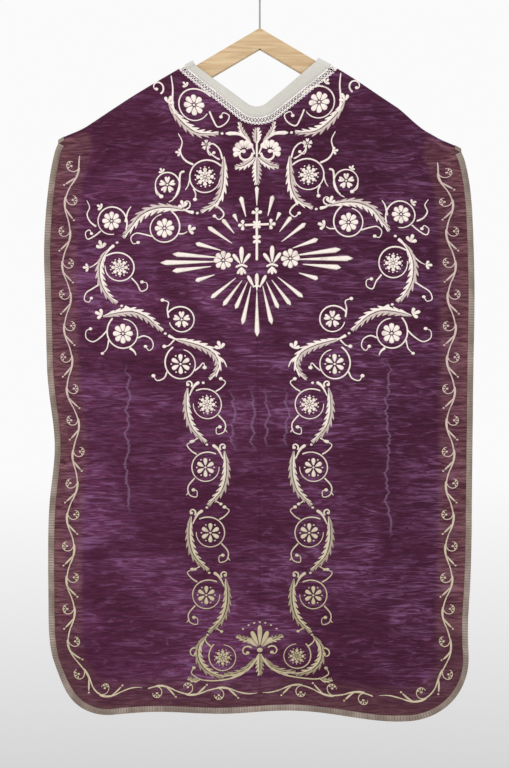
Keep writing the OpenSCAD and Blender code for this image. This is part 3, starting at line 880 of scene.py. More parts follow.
def galloon(name, back, *nodes):
    """The braid round one panel, from shoulder to shoulder by way of the hem, in two halves. Its
    seen face swells with each rib, and a little at random where it is worn."""
    for side, word in ((-1, "left"), (1, "right")):
        line = back_side() if back else front_side()
        length = length_of(line)
        line = resample(line, int(length / 1.3))
        along = np.linspace(0, length, len(line))
        swell = 0.28 * np.cos(2 * np.pi * along / RIB) + 0.35 * pucker(along, 0 * along, 17, 9, 5)
        mirror = np.array((side if back else -side, 1))
        into, lift = GALLOON.T
        lift = lift + (lift > lift.max() - 0.5) * swell[:, None]
        points = band(line * mirror, side_normal(line) * mirror, into, lift, back)
        uv = uv_grid(along * MM, np.arange(len(GALLOON)) * MM)
        piece = new_piece(f"{name}_{word}", points.reshape(-1, 3), outward_band(points, back), braid, uv=uv)
        hang(piece, back, "galloon")
        braids.append(piece)
    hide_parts(*nodes)


galloon("galloon_back", True, "back_galloon", "shoulder_galloon_left", "shoulder_galloon_right")
galloon("galloon_front", False, "front_galloon")
print("galloon round the panels:", [piece.name for piece in braids])

# %% Bands over the shoulders
def shoulder_band(name, rows_of_points, finish, uv=None):
    """A band that lies over a shoulder, from the back to the front, with its thickness."""
    rows, columns = rows_of_points.shape[:2]
    points = rows_of_points.reshape(-1, 3)
    quads = outward(points, grid_faces(rows, columns), (0, 0, 1))
    piece = thicken(new_piece(name, points, quads, finish, uv=uv), 0.8)
    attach(piece, "garment")
    return piece


for side, word in ((-1, "left"), (1, "right")):
    across = np.linspace(SHOULDER_TIP - 9.4, SHOULDER_TIP + 0.8, 5)
    rows_of_points = over_arm(np.stack([across, shoulder_line(across)], 1), 0.9, side, -2, 182, 60)
    uv = uv_grid(np.linspace(0, 0.06, 60), np.zeros(5))
    braids.append(shoulder_band(f"galloon_shoulder_{word}", rows_of_points, braid, uv))
print("galloon pieces:", len(braids))

# %% [markdown]
# ## Stitched lines
#
# Nearly all of the embroidery is one shape: a low padded line that swells and tapers. It is an
# ellipse carried along a curve and closed to a point at both ends. Leaves, petals, rays and beads
# are the same line with another outline. Each lies on the silk by the same rule as the silk itself.

# %% The stitched line
class Work:
    """A piece of embroidery in the making: stitched lines gathered as arrays on the plan."""

    def __init__(self):
        self.points, self.quads, self.triangles, self.flank = [], [], [], []
        self.count = 0

    def line(self, path, half_width, height=1.1, sides=8, shade=0.0):
        """A padded line along path. At each point its section is half_width times the cosine
        across and height times the sine outwards; the lower half is shallow, under the silk.
        shade is the least painted flank shade that the whole line gets, from 0 to 1."""
        path = np.asarray(path, float)
        rings = len(path) - 2
        half = np.broadcast_to(half_width, len(path))[1:-1, None]
        tall = np.broadcast_to(height, len(path))[1:-1, None]
        normal = left_of(path)[1:-1, None]
        turn = 2 * np.pi * np.arange(sides) / sides
        across, up = np.cos(turn), np.sin(turn)
        flat = path[1:-1, None] + normal * (half * across)[..., None]
        lift = np.where(up > 0, tall * up, 0.35 * up) + 0.12
        body = np.concatenate([flat, lift[..., None]], -1).reshape(-1, 3)
        ends = np.array([(*path[0], 0.1), (*path[-1], 0.1)])
        quads = grid_faces(rings, sides, wrap=True)
        ring = np.arange(sides)
        after = (ring + 1) % sides
        first, last = rings * sides, rings * sides + 1
        top = (rings - 1) * sides
        caps = np.vstack([np.stack([np.full(sides, first), after, ring], 1),
                          np.stack([np.full(sides, last), top + ring, top + after], 1)])
        self.points.append(np.vstack([body, ends]))
        self.quads.append(quads + self.count)
        self.triangles.append(caps + self.count)
        # flank: the painted shade at each point, the square of the cosine across, 1 at the two ends, never
        # below shade.
        self.flank.append(np.maximum(np.r_[np.tile(np.abs(across) ** 2, rings), 1, 1], shade))
        self.count += len(body) + 2
        return self

    def bead(self, centre, radius, height=None):
        """A round knot: a line as long as it is wide, whose half width is a circle's."""
        t = np.cos(np.linspace(np.pi, 0, 9))
        path = np.asarray(centre, float) + np.stack([t * radius, 0 * t], 1)
        round_off = np.sqrt(np.clip(1 - t**2, 0, 1))
        return self.line(path, radius * round_off, (height or radius * 0.55) * round_off)

    def arrays(self):
        """All the lines' points on the plan, four-sided faces and triangles."""
        return np.vstack(self.points), np.vstack(self.quads), np.vstack(self.triangles)

    def piece(self, name, finish, back, mirror=False):
        """The finished object, laid on the cloth; mirror swaps left and right on the plan."""
        points, quads, triangles = self.arrays()
        if mirror:
            points = points * (-1, 1, 1)
            quads, triangles = quads[:, ::-1], triangles[:, ::-1]
        laid = lay(points[:, 0], points[:, 1], points[:, 2], back)
        return new_piece(name, laid, quads, finish, triangles, {"flank": np.concatenate(self.flank)})


def swelling(count, power=0.6, lean=1.0):
    """Half widths from 0 to 1 to 0 along a line; lean above 1 moves the widest point onwards."""
    t = np.linspace(0, 1, count)
    return np.sin(np.pi * t**lean) ** power


print("points in a knot:", Work().bead((0, 0), 3).count)

# %% [markdown]
# ## Leaves, flowers, scrolls and tendrils
#
# An embroiderer draws a few motifs and repeats them. An acanthus leaf is two padded lines side by
# side, with pointed lobes along both. A flower is a ring of petals round a knot. A scroll is a ring
# of vine with a flower in it, and a tendril is a bent stem that ends in a ball.

# %% Petals and flowers
def heading(angle):
    """The unit vector at an angle in degrees."""
    return np.array((np.cos(np.radians(angle)), np.sin(np.radians(angle))))


def petal(work, centre, angle, inner, outer, half, height=1.5):
    """One petal, blunt at its outer end, pointing at angle degrees from centre."""
    path = np.asarray(centre) + np.linspace(inner, outer, 10)[:, None] * heading(angle)
    shape = swelling(10, 0.5, 1.75)
    work.line(path, half * shape, height * shape ** 0.7)


def flower(work, centre, radius, kind, turn=0.0):
    """A flower: kind is its number of petals, or 0 for a close double one with knots round it.
    Five petals are notched at the end, which takes two lines that part, and six have knots between
    them."""
    centre = np.asarray(centre, float)
    if kind:
        gap = 360 / kind
        for k in range(kind):
            way = turn + 90 + k * gap
            if kind > 5:
                petal(work, centre, way, radius * 0.16, radius, radius * (0.29 if kind > 6 else 0.25))
                continue
            for lean in (-0.17, 0.17):
                petal(work, centre, way + lean * gap, radius * 0.16, radius, radius * 0.95 / kind)
        work.bead(centre, radius * 0.13, 1.6)
        for k in range(kind if kind == 6 else 0):
            work.bead(centre + radius * 0.9 * heading(turn + 90 + (k + 0.5) * gap), radius * 0.09)
        return
    for k in range(8):
        petal(work, centre, turn + 45 * k, radius * 0.42, radius * 0.94, radius * 0.25, 1.3)
        petal(work, centre, turn + 22.5 + 45 * k, radius * 0.12, radius * 0.6, radius * 0.17, 1.8)
    knots = 14
    for k in range(knots):
        work.bead(centre + radius * 1.02 * heading(turn + 11 + 360 / knots * k), radius * 0.09)
    work.bead(centre, radius * 0.14, 2.0)


sample = Work()
flower(sample, (0, 0), 20, 8)
print("lines in a flower of eight petals:", len(sample.points))

# %% Acanthus leaf
def leaf(work, points, wide=8.5, tooth=12.0, dull=1, height=1.5):
    """An acanthus leaf along a curve. On each side of the rib lies a body, and pointed lobes
    spring from it, one every tooth millimetres: each leaves the rib forwards and bends out to its
    tip like a saw's tooth, on a curve of the second degree. The body and lobes on the dull side,
    1 or -1, get the painted flank shade all over, which makes them greyer."""
    step = 1.2
    rib = smooth(points, step)
    count = len(rib)
    teeth = max(2, round(step * count / tooth))
    normal = left_of(rib)
    whole = wide * swelling(count, 0.6, 0.9)

    def off(t, out):
        """The point out millimetres beside the rib, t of the way along it."""
        at = np.clip(t, 0, 1) * (count - 1)
        middle, away = ([np.interp(at, np.arange(count), v[:, k]) for k in (0, 1)] for v in (rib, normal))
        return np.array(middle) + out * np.array(away)

    bend = np.linspace(0, 1, 8)[:, None]
    for side in (1, -1):
        shade = 0.66 if side == dull else 0.0
        body = rib + side * normal * (0.25 + whole * 0.26)[:, None]
        work.line(body, whole * 0.26 + 0.3, height, 6, shade)
        for k in range(teeth):
            first = (k + (0.15 if side > 0 else 0.55)) / teeth
            last = min(first + 1.5 / teeth, 1.0)
            reach = whole[int(min((first + last) / 2, 1) * (count - 1))]
            root, tip = off(first, side * 0.1 * reach), off(last, side * reach)
            pull = off(first * 0.4 + last * 0.6, side * 0.5 * reach)
            path = root * (1 - bend) ** 2 + 2 * pull * bend * (1 - bend) + tip * bend ** 2
            shape = swelling(8, 0.7, 0.75)
            work.line(path, (0.6 + 0.24 * reach) * shape, height * (0.35 + 0.5 * shape), 6, shade)


sample = Work()
leaf(sample, [(0, 0), (0, 50), (0, 100)])
print("lines in a leaf of 100 mm:", len(sample.points))

# %% Stems, tendrils and scrolls
def horn(work, points, wide=3.6, thin=1.3):
    """A calyx: a stem that opens towards its start like a trumpet."""
    path = smooth(points, 1.6)
    t = np.linspace(0, 1, len(path))
    work.line(path, thin + (wide - thin) * (1 - t) ** 1.5 * smoothstep(t, 0, 0.12), 1.4, 8)


def tendril(work, points, thick=1.45, ball=3.4, start=0.4):
    """A curved stem that thins along its way and ends in a ball."""
    path = smooth(points, 1.8)
    width = np.linspace(thick * (1 + start), thick * 0.75, len(path))
    work.line(path, width, 1.0, 6)
    if ball:
        work.bead(path[-1], ball, 1.7)


def curl(work, centre, radius, first, last, thick=1.4, ball=3.2):
    """A spiral that winds in from radius to 0.42 of it, from angle first to last, to a ball."""
    path = arc(centre, (radius, radius * 0.42), first, last, 1.8)
    work.line(path, np.linspace(thick * 1.5, thick * 0.8, len(path)), 1.0, 6)
    if ball:
        work.bead(path[-1] + 0.3 * (np.asarray(centre) - path[-1]), ball, 1.7)


def bud(work, at, angle, size=7.0):
    """A three-lobed bud: a middle petal and two turned out."""
    for off, reach in ((-52, 0.9), (0, 1.15), (52, 0.9)):
        petal(work, at, angle + off, 0, size * reach, size * 0.27, 1.4)


def ring(work, centre, radius, first, sweep, thick=1.5):
    """The vine round a flower: a spiral that comes in from outside and closes on its circle. Its
    reach is the radius times 0.96, plus a share that falls with the seventh power of what is left
    of the way."""
    count = int(abs(np.radians(sweep)) * radius / 2) + 2
    t = np.linspace(0, 1, count)
    angle = np.radians(first + sweep * t)
    reach = radius * (0.96 + 0.26 * (1 - t) ** 7)
    path = np.asarray(centre) + reach[:, None] * np.stack([np.cos(angle), np.sin(angle)], 1)
    work.line(path, np.linspace(thick * 1.2, thick * 0.75, count), 1.1, 6)


def scroll(work, centre, radius, kind, first, sweep, turn=0.0, thick=1.5):
    """A ring of vine with a flower in it; first is where the vine joins and sweep how far it runs."""
    ring(work, centre, radius, first, sweep, thick)
    flower(work, centre, radius * (0.68 if kind else 0.6), kind, turn)


sample = Work()
scroll(sample, (0, 0), 25, 0, 60, -330)
print("lines in a scroll with a double flower:", len(sample.points))

# %% [markdown]
# ## The cross-shaped orphrey
#
# Bands of scrolls outline a Latin cross on the back. The right half is drawn from the neck to the
# foot and the left half is its mirror image. Each scroll hangs on an acanthus leaf, and a knot
# marks where one stem passes into the next. Points are given as (u, z) on the plan.

# %% Neck scrolls
neck = Work()
scroll(neck, (106, -239), 27, 8, 155, -305)
leaf(neck, [(150, -238), (137, -258), (116, -277), (96, -286), (64, -286)], 9.0)
bud(neck, (151, -238), 120, 13)
horn(neck, [(54, -286), (30, -287), (13, -300), (3, -322)], 4.4, 1.6)
neck.bead((59, -286), 2.6)
tendril(neck, [(139, -258), (143, -238), (141, -212), (143, -190)], 1.6, 0, 0.8)
curl(neck, (168, -212), 12, 250, -60, 1.4, 3.2)
bud(neck, (116, -208), 50, 9)
tendril(neck, [(81, -248), (74, -264), (66, -275), (52, -268), (47, -256), (57, -251), (61, -258)], 1.4, 3.2)
leaf(neck, [(10, -300), (20, -290), (27, -279), (30, -266)], 5.5, 7)
for spread in (-20, 12, 44, 76, 108, 140):
    petal(neck, (22, -316), spread, 5, 20, 5.2, 1.7)
curl(neck, (21, -320), 14, -190, 70, 2.0, 4.0)
leaf(neck, [(2, -326), (12, -334), (24, -341), (38, -343)], 7.5, 7)

neck_middle = Work()
leaf(neck_middle, [(0, -304), (0, -296), (0, -288), (0, -276)], 9.0, 6)
leaf(neck_middle, [(0, -326), (0, -340), (0, -355), (0, -374)], 9.0, 7)
neck_middle.line(smooth([(0, -298), (0, -312), (0, -330)]), 2.0, 1.4)
print("points in the neck's scrolls:", neck.count, "and in its palmette:", neck_middle.count)

# %% The arms of the cross
arms = Work()
scroll(arms, (88, -358), 27, 0, 150, -330)
leaf(arms, [(56, -324), (56, -350), (59, -380), (70, -402), (96, -416)], 9.0)
tendril(arms, [(74, -404), (62, -412), (56, -422), (64, -430), (72, -424)], 1.5, 3.2)
arms.bead((101, -418), 2.6)
tendril(arms, [(58, -330), (64, -312), (76, -303), (84, -312), (80, -322), (73, -318)], 1.4, 3.0)
tendril(arms, [(62, -330), (70, -326), (80, -318), (84, -311)], 1.3, 0)
flower(arms, (86, -305), 9, 5)
tendril(arms, [(107, -338), (122, -330), (130, -316), (127, -300), (134, -286)], 1.3, 0, 0.8)
bud(arms, (129, -318), 10, 9)
tendril(arms, [(108, -376), (104, -386), (105, -395)], 1.4, 3.6)
tendril(arms, [(113, -358), (117, -372), (122, -380)], 1.2, 0)
scroll(arms, (152, -370), 21, 5, 250, -320)
tendril(arms, [(122, -348), (130, -352), (132, -372), (140, -392), (150, -399)], 1.3, 0, 0.8)
tendril(arms, [(172, -372), (170, -384), (162, -389)], 1.3, 3.8)
bud(arms, (160, -350), 60, 8)
horn(arms, [(106, -417), (116, -415), (126, -410)], 4.0, 1.6)
leaf(arms, [(122, -413), (146, -408), (172, -409), (196, -420), (212, -440), (226, -458)], 9.5)
bud(arms, (124, -408), 70, 12)
curl(arms, (120, -402), 9, -80, -300, 1.2, 2.4)
scroll(arms, (156, -442), 25, 8, 110, 330)
scroll(arms, (245, -429), 24, 8, 215, -320)
arms.bead((235, -466), 2.6)
tendril(arms, [(222, -432), (218, -414), (212, -404)], 1.3, 0, 0.8)
bud(arms, (262, -408), 30, 9)
tendril(arms, [(262, -446), (274, -456), (286, -462), (290, -452), (283, -446), (279, -452)], 1.2, 3.0)
tendril(arms, [(270, -440), (282, -432), (288, -420), (284, -408), (290, -396)], 1.1, 0, 0.8)
tendril(arms, [(176, -456), (190, -452), (204, -450), (212, -458), (208, -468), (200, -466)], 1.2, 3.2)
tendril(arms, [(134, -452), (124, -452), (117, -448)], 1.3, 0)
bud(arms, (116, -447), 160, 12)
horn(arms, [(239, -470), (247, -477), (254, -486)], 3.8, 1.6)
leaf(arms, [(250, -478), (260, -494), (265, -514), (262, -540), (250, -562), (236, -574)], 9.0)
bud(arms, (260, -476), 70, 13)
scroll(arms, (231, -510), 25, 0, 40, 330)
arms.bead((229, -578), 2.6)
bud(arms, (284, -512), 0, 10)
tendril(arms, [(266, -500), (276, -508), (284, -512)], 1.2, 0)
tendril(arms, [(266, -540), (278, -548), (290, -556), (294, -568), (286, -572), (281, -565)], 1.2, 3.0)
tendril(arms, [(212, -528), (202, -540), (196, -552), (186, -548), (186, -538), (194, -536)], 1.2, 3.2)
scroll(arms, (228, -626), 26, 8, 60, -330)
leaf(arms, [(262, -597), (240, -591), (212, -588), (190, -596), (172, -611), (160, -622)], 9.5)
bud(arms, (262, -594), 20, 13)
horn(arms, [(225, -579), (216, -583), (206, -587)], 3.6, 1.5)
tendril(arms, [(254, -620), (266, -632), (280, -640), (292, -634), (292, -622), (284, -618)], 1.2, 3.2)
tendril(arms, [(252, -636), (256, -652), (264, -660)], 1.2, 3.0)
tendril(arms, [(204, -634), (192, -630), (180, -636), (177, -648), (184, -655), (190, -648)], 1.2, 3.2)
tendril(arms, [(218, -650), (210, -656), (206, -664)], 1.4, 0, 1.2)
arms.bead((156, -626), 2.6)
scroll(arms, (128, -602), 22, 5, 20, 330)
tendril(arms, [(150, -600), (152, -584), (150, -572), (160, -568)], 1.4, 3.4)
horn(arms, [(152, -629), (144, -633), (134, -638)], 3.6, 1.5)
leaf(arms, [(142, -635), (120, -640), (94, -648), (74, -660), (66, -678), (72, -694), (84, -704)], 9.0)
bud(arms, (62, -652), 70, 13)
tendril(arms, [(70, -664), (58, -672), (52, -684)], 1.4, 0, 0.8)
scroll(arms, (131, -678), 26, 6, 70, -330)
tendril(arms, [(140, -636), (150, -646), (158, -648)], 1.3, 3.6)
tendril(arms, [(154, -690), (160, -702), (172, -706), (178, -698)], 1.3, 3.6)
tendril(arms, [(108, -690), (100, -684), (92, -676), (90, -684)], 1.3, 3.8)
arms.bead((93, -710), 2.6)
print("points in one arm of the cross:", arms.count)

# %% The column and the foot
def standing_scroll(work, u, z, radius, kind, side, knot):
    """One scroll of a column, with two tendrils, a knot and its leaf on the side given, 1 or -1.
    knot is how far below the flower the knot lies, and its radius. The answer is beside, for more
    stems on the same scroll."""
    def beside(*pairs):
        """Plan points from pairs (distance out on the leaf's side, height above the flower)."""
        return [(u + side * out, z + up) for out, up in pairs]

    scroll(work, (u, z), radius, kind, 90 - side * 42, side * 318, thick=1.25)
    leaf(work, beside((33, 29), (36, 8), (35, -16), (27, -40), (10, -58), (3, -65)), 8.5, dull=side)
    work.bead(beside((2, -knot[0]))[0], knot[1])
    tendril(work, beside((-14, 22), (-24, 28), (-32, 38), (-24, 44)), 1.2, 3.4)
    tendril(work, beside((-18, -17), (-30, -32), (-28, -46), (-16, -50), (-15, -40), (-21, -38)), 1.2, 3.4)
    return beside


column = Work()
# Each scroll is (u, z, radius, kind of flower, side of its leaf).
COLUMN = [(87, -747, 25, 0, 1), (92, -854, 24.5, 6, -1), (84, -965, 25, 6, 1), (91, -1071, 24, 6, -1)]
for u, z, radius, kind, side in COLUMN:
    beside = standing_scroll(column, u, z, radius, kind, side, (68, 2.4))
    horn(column, beside((12, 39), (22, 31), (31, 14)), 3.6, 1.4)
    curl(column, beside((31, 35))[0], 6.5, 90 + side * 150, 90 - side * 130, 1.4, 3.0)
    tendril(column, beside((-28, -40), (-34, -48)), 1.1, 0)
    tendril(column, beside((16, -56), (26, -62)), 1.2, 3.0)
scroll(column, (63, -1178), 23, 0, 60, -330, thick=1.25)
leaf(column, [(90, -1140), (104, -1158), (104, -1182), (88, -1202), (60, -1212)], 8.5)
tendril(column, [(82, -1160), (92, -1150), (92, -1140)], 1.4, 0)
tendril(column, [(0, -1172), (16, -1196), (40, -1211), (72, -1217), (100, -1216), (117, -1206),
                 (113, -1196)], 1.6, 3.4)
leaf(column, [(8, -1180), (22, -1198), (42, -1206), (62, -1207)], 6.5)
leaf(column, [(100, -1214), (112, -1218), (124, -1214)], 5.0, 6)
curl(column, (112, -1170), 9, 120, -150, 1.2, 3.0)
leaf(column, [(4, -1160), (14, -1150), (28, -1146), (40, -1140)], 6.5, 7)
curl(column, (22, -1168), 10, 150, -120, 1.4, 3.4)

foot = Work()
for angle, reach in ((90, 44), (66, 36), (114, 36), (42, 30), (138, 30)):
    petal(foot, (0, -1164), angle, 4, reach, 5.0, 1.8)
foot.bead((0, -1166), 5, 2.2)
leaf(foot, [(0, -1172), (0, -1186), (0, -1200), (0, -1212)], 8.0, 7)
for k in range(-3, 4):
    foot.bead((k * 9.5, -1117 - 1.3 * k * k), 2.0)
print("points in half of the column:", column.count, "and in the foot's palmette:", foot.count)

# %% [markdown]
# ## The sunburst
#
# At the crossing, padded rays stand round a plain cross. A ray widens almost to its outer end and
# then comes to a point. The cross has a three-lobed end on its arms and head. Beside its foot
# stand a lily and a rosette on each side, and a spray of three leaves lies below it.

# %% Sunburst
SUN = (0, -502)
# Each ray on the right is (angle, distance of its inner end, distance of its outer end).
SIDE_RAYS = [(64, 74, 90), (51, 60, 94), (36, 50, 104), (17.5, 62, 110), (6, 58, 145), (0, 64, 165),
             (-6, 76, 145), (-17.5, 74, 110), (-39, 44, 102), (-53, 40, 97), (-66, 38, 91),
             (-77, 42, 113), (76, 76, 114)]


def ray(work, angle, inner, outer, half):
    """A kite: its half width grows evenly over 88 hundredths of its length, and then closes."""
    t = np.linspace(0, 1, 18)
    path = np.asarray(SUN) + (inner + (outer - inner) * t)[:, None] * heading(angle)
    shape = np.where(t < 0.88, 0.12 + t, (1 - t) / 0.12)
    work.line(path, half * shape, 1.6 * (0.35 + 0.65 * shape), 6)


rays = Work()
for angle, inner, outer in SIDE_RAYS:
    ray(rays, angle, inner, outer, 3.0 + outer / 62)
rays_middle = Work()
ray(rays_middle, 90, 92, 127, 4.2)
ray(rays_middle, -90, 50, 131, 5.2)
print("rays:", 2 * len(SIDE_RAYS) + len(rays_middle.points))

# %% Cross, lilies and rosettes
emblem = Work()
emblem.line(smooth([(0, -420), (0, -460), (0, -503)]), 2.6, 1.8)
emblem.line(smooth([(-22, -441), (0, -441), (22, -441)]), 2.4, 1.8)
for x, z, turn in ((0, -424, 90), (-20, -441, 180), (20, -441, 0)):
    for off in (-80, 0, 80):
        petal(emblem, np.array((x, z)) + 3 * heading(turn), turn + off, 0, 9.5, 3.6, 1.9)
for off in (45, 135, 225, 315):
    petal(emblem, (0, -441), off, 0, 9, 2.6, 1.8)
    petal(emblem, (0, -466), off, 0, 9, 3.0, 1.8)
for side in (-1, 1):
    flower(emblem, (side * 57, -500), 17, 8)
    for angle, reach, half in ((90, 34, 4.6), (54, 26, 3.8), (126, 26, 3.8)):
        petal(emblem, (side * 26, -510), angle, 2, reach, half, 1.8)
    emblem.line(smooth([(side * 15, -513), (side * 26, -509), (side * 37, -513)]), 2.2, 1.5)
    for angle in (240, 270, 300):
        petal(emblem, (side * 26, -512), angle, 0, 15, 3.0, 1.6)
    petal(emblem, (side * 4, -549), 90 - side * 28, 0, 26, 3.6, 1.6)
petal(emblem, (0, -556), 90, 0, 34, 4.0, 1.8)
emblem.line(smooth([(-8, -547), (0, -545), (8, -547)]), 1.8, 1.4)
print("lines in the cross and what stands round it:", len(emblem.points))

# %% Lay the back's embroidery
trims = {"back": [], "front": []}


def stitched(name, work, finish, slot, back, mirror, *nodes):
    """Lays a piece of embroidery on its panel and hangs it there."""
    piece = work.piece(name, finish, back, mirror)
    hang(piece, back, slot, *nodes)
    trims["back" if back else "front"].append(piece)


for word, mirror in (("left", True), ("right", False)):
    for name, work in (("cross_scrolls", arms), ("column_scrolls", column)):
        stitched(f"{name}_work_{word}", work, silver, "silver_thread", True, mirror, f"{name}_{word}")
    stitched(f"neck_scrolls_work_{word}", neck, silver, "silver_thread", True, mirror)
    stitched(f"sun_rays_{word}", rays, silver, "silver_thread", True, mirror)
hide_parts("neck_scrolls_back")
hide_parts("sunburst_rays")
stitched("neck_palmette", neck_middle, silver, "silver_thread", True, False)
stitched("sun_rays_middle", rays_middle, silver, "silver_thread", True, False)
stitched("sun_cross", emblem, silver, "silver_thread", True, False, "sunburst_cross")
stitched("foot_palmette", foot, silver, "tarnished_thread", True, False, "base_palmette")
stitch_points = sum(len(piece.data.vertices) for piece in trims["back"])
print("pieces of silver work:", len(trims["back"]), "points:", stitch_points)

# %% [markdown]
# ## The border vine
#
# A thin vine runs beside the galloon, down both sides and along the hem. Its stem is a sine wave
# along the edge line, moved in from it. At each crest a leaf lies on the stem, a small scroll with
# a bud fills the hollow and a shoot with a knot springs from the other side.

# %% The vine
VINE_INSET, HALF_WAVE, SWING = 37.0, 53.5, 6.0   # from the edge, from crest to crest, and its swing


def vine(line, start=0.0):
    """The vine along an edge line: the stem, then a leaf, a scroll, a bud and a shoot at each crest.
    The stem's offset is a sine of the distance along the line, and its width another of half the
    wave, so that it is thickest on the way to each crest."""
    work = Work()
    length = length_of(line)
    line = resample(line, int(length / 1.5))
    normal = side_normal(line)
    along = np.linspace(0, length, len(line))

    def at(s, off):
        """Plan points at s along the line and off to its inner side."""
        s = np.clip(s, 0, length)
        base = np.stack([np.interp(s, along, line[:, k]) for k in (0, 1)], -1)
        side = np.stack([np.interp(s, along, normal[:, k]) for k in (0, 1)], -1)
        return base + side * np.asarray(off)[..., None]

    s = np.arange(start, length, 2.2)
    stem_half = 1.1 + 0.5 * np.sin(2 * np.pi * s / HALF_WAVE)
    work.line(at(s, SWING * np.sin(np.pi * s / HALF_WAVE)), stem_half, 0.9, 6)
    for k in range(int(start / HALF_WAVE), int(length / HALF_WAVE)):
        mid, side = (k + 0.5) * HALF_WAVE, 1 if k % 2 == 0 else -1
        if mid + 30 > length:
            break
        t = np.linspace(0, 1, 16)
        rise = side * (SWING * np.sin(np.pi * (0.5 + (t * 38 - 8) / HALF_WAVE)))
        work.line(at(mid - 8 + 38 * t, rise + side * 1.0), 2.5 * swelling(16, 0.8, 0.6), 1.1, 6)
        turn = np.radians(np.linspace(92, -190, 22))
        reach = np.linspace(11.0, 6.0, 22)
        hook = at(mid - 4 + reach * np.cos(turn), side * (-5.5 + reach * np.sin(turn)))
        work.line(hook, np.linspace(1.2, 0.7, 22), 0.8, 6)
        work.bead(at(mid - 3, np.float64(-side * 6.0)), 2.3, 1.2)
        for spread in (-50, 0, 50):
            up, across = heading(spread)
            path = at(mid - 3 + np.linspace(2, 9, 6) * across, side * (-6.5 - np.linspace(2, 8, 6) * up))
            work.line(path, 1.7 * swelling(6, 0.6, 1.3), 1.0, 6)
        path = at(mid + 12 + np.linspace(0, 17, 10), side * (4.4 - 15 * np.linspace(0, 1, 10) ** 1.3))
        work.line(path, 0.5 + 1.5 * swelling(10, 0.7, 1.3), 0.9, 6)
        work.bead(at(mid + 30, np.float64(-side * 11.5)), 1.9, 1.1)
    return work


print("points in 200 mm of vine:", vine(np.array([(0.0, 0.0), (0.0, -200.0)])).count)

# %% Vines round the back
def vines(edge, top, corner_u):
    """The vine down a panel's right side from height top, and the one along its hem, which starts
    where the line below the side first comes nearer to the middle than corner_u."""
    line = inset(resample(edge, 900), VINE_INSET)
    line = line[(line[:, 1] < top) & (line[:, 0] > 0)]
    hem_from = int(np.argmax((line[:, 0] < corner_u) & (line[:, 1] < -1000)))
    return vine(line[:hem_from]), vine(line[hem_from - 1:], 6)


def stitch_vines(down, along, back):
    """Stitches both vines on each half of a panel. On the plan of the front, +X lies on the left."""
    panel = "back" if back else "front"
    for word in ("left", "right"):
        look = (dull_silver, "tarnished_thread", back, (word == "left") == back)
        stitched(f"vine_{panel}_{word}", down, *look, f"{panel}_vine_{word}")
        stitched(f"vine_hem_{panel}_{word}", along, *look)


side_vine, hem_vine = vines(back_side(), -303, 200)
stitch_vines(side_vine, hem_vine, True)
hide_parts("back_vine_hem")
print("points in the back's vine on one side:", side_vine.count + hem_vine.count)

# %% [markdown]
# ## The front
#
# The front of a Roman chasuble carries a plain pillar in place of a cross. Its motifs are those of
# the back's column, from the chest to the hem, and its neckline is rounder and deeper.

# %% Front embroidery
pillar = Work()
for k in range(7):
    side = 1 if k % 2 == 0 else -1
    u, z = (84 if side > 0 else 91), -392 - 108 * k
    standing_scroll(pillar, u, z, 24.5, 6 if k % 3 else 0, side, (64, 2.6))
front_neck_work = Work()
scroll(front_neck_work, (150, -262), 24, 8, 60, -330)
leaf(front_neck_work, [(196, -246), (190, -276), (170, -300), (140, -312), (112, -318)], 7.0)
for word, mirror in (("left", False), ("right", True)):
    stitched(f"pillar_work_{word}", pillar, silver, "silver_thread", False, mirror, f"pillar_scrolls_{word}")
    stitched(f"neck_work_front_{word}", front_neck_work, silver, "silver_thread", False, mirror)
front_vines = vines(front_side(), -345, 190)
stitch_vines(*front_vines, False)
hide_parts("neck_scrolls_front")
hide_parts("front_vine_hem")
print("front pieces:", len(trims["front"]))

# %% [markdown]
# ## Linen neck guard and lace
#
# A band of washable linen is tacked over the neck edge to keep the silk clean, and a narrow
# lace is sewn to it. The linen is a folded band like the galloon. The lace is drawn as its own
# threads: two border cords, crossing zigzags between them and a row of small loops outside.

# %% Neck line
def neck_line(back, count):
    """The whole neck edge of one panel, from its left to its right shoulder on the plan, and for
    each of its points the step into the cloth that one millimetre of width takes."""
    grown = 20
    neck_cut = BACK_NECK if back else FRONT_NECK
    halves = (neck_edge(*neck_cut, grow, count) for grow in (0, grown))
    line, outer = (np.vstack([half[:0:-1] * (-1, 1), half]) for half in halves)
    return line, (outer - line) / grown


def guard_width(u):
    """The band is worn unevenly: narrow on the left, wider at the bottom and on the right."""
    return 18.5 + 4.5 * np.clip(u / 90, -1, 1)


print("width of the guard, left, bottom and right, mm:", guard_width(np.array((-90, 0, 90))))

# %% Linen guard
# The guard's section: (share of its width into the cloth, lift) pairs, in a ring.
GUARD = np.array([(1.0, 0.15), (0.985, 0.85), (0.6, 1.1), (0.25, 1.1), (0.02, 0.9), (-0.05, 0.0),
                  (-0.06, -1.6), (-0.05, -3.2), (0.02, -4.0), (0.3, -4.1), (0.6, -4.0), (0.6, -3.4),
                  (0.04, -3.2), (0.02, -1.6), (0.03, 0.1)])


def linen_band(name, back, node):
    """The guard on one panel: in from the lining, round the neck edge and out over the silk. Its
    seen face is puckered, and drawn up by its stitches near the outer rim."""
    line, normal = neck_line(back, 90)
    width = guard_width(line[:, 0] * (1 if back else -1))[:, None]
    into = GUARD[None, :, 0] * width
    lift = np.broadcast_to(GUARD[None, :, 1], into.shape)
    s = np.arange(len(line))[:, None] * 2.0
    stitches = 0.12 * np.sin(s / 2.4) * hill(into, width * 0.82, 1.5)
    lift = lift + (lift > 0.5) * (0.25 * pucker(s, into, 14, 7, 11) + stitches)
    points = band(line, normal, into, lift, back)
    piece = new_piece(name, points.reshape(-1, 3), outward_band(points, back), linen)
    hang(piece, back, "linen", node)
    return piece


guards = [linen_band("linen_guard_back", True, "neck_linen_back"),
          linen_band("linen_guard_front", False, "neck_linen_front")]


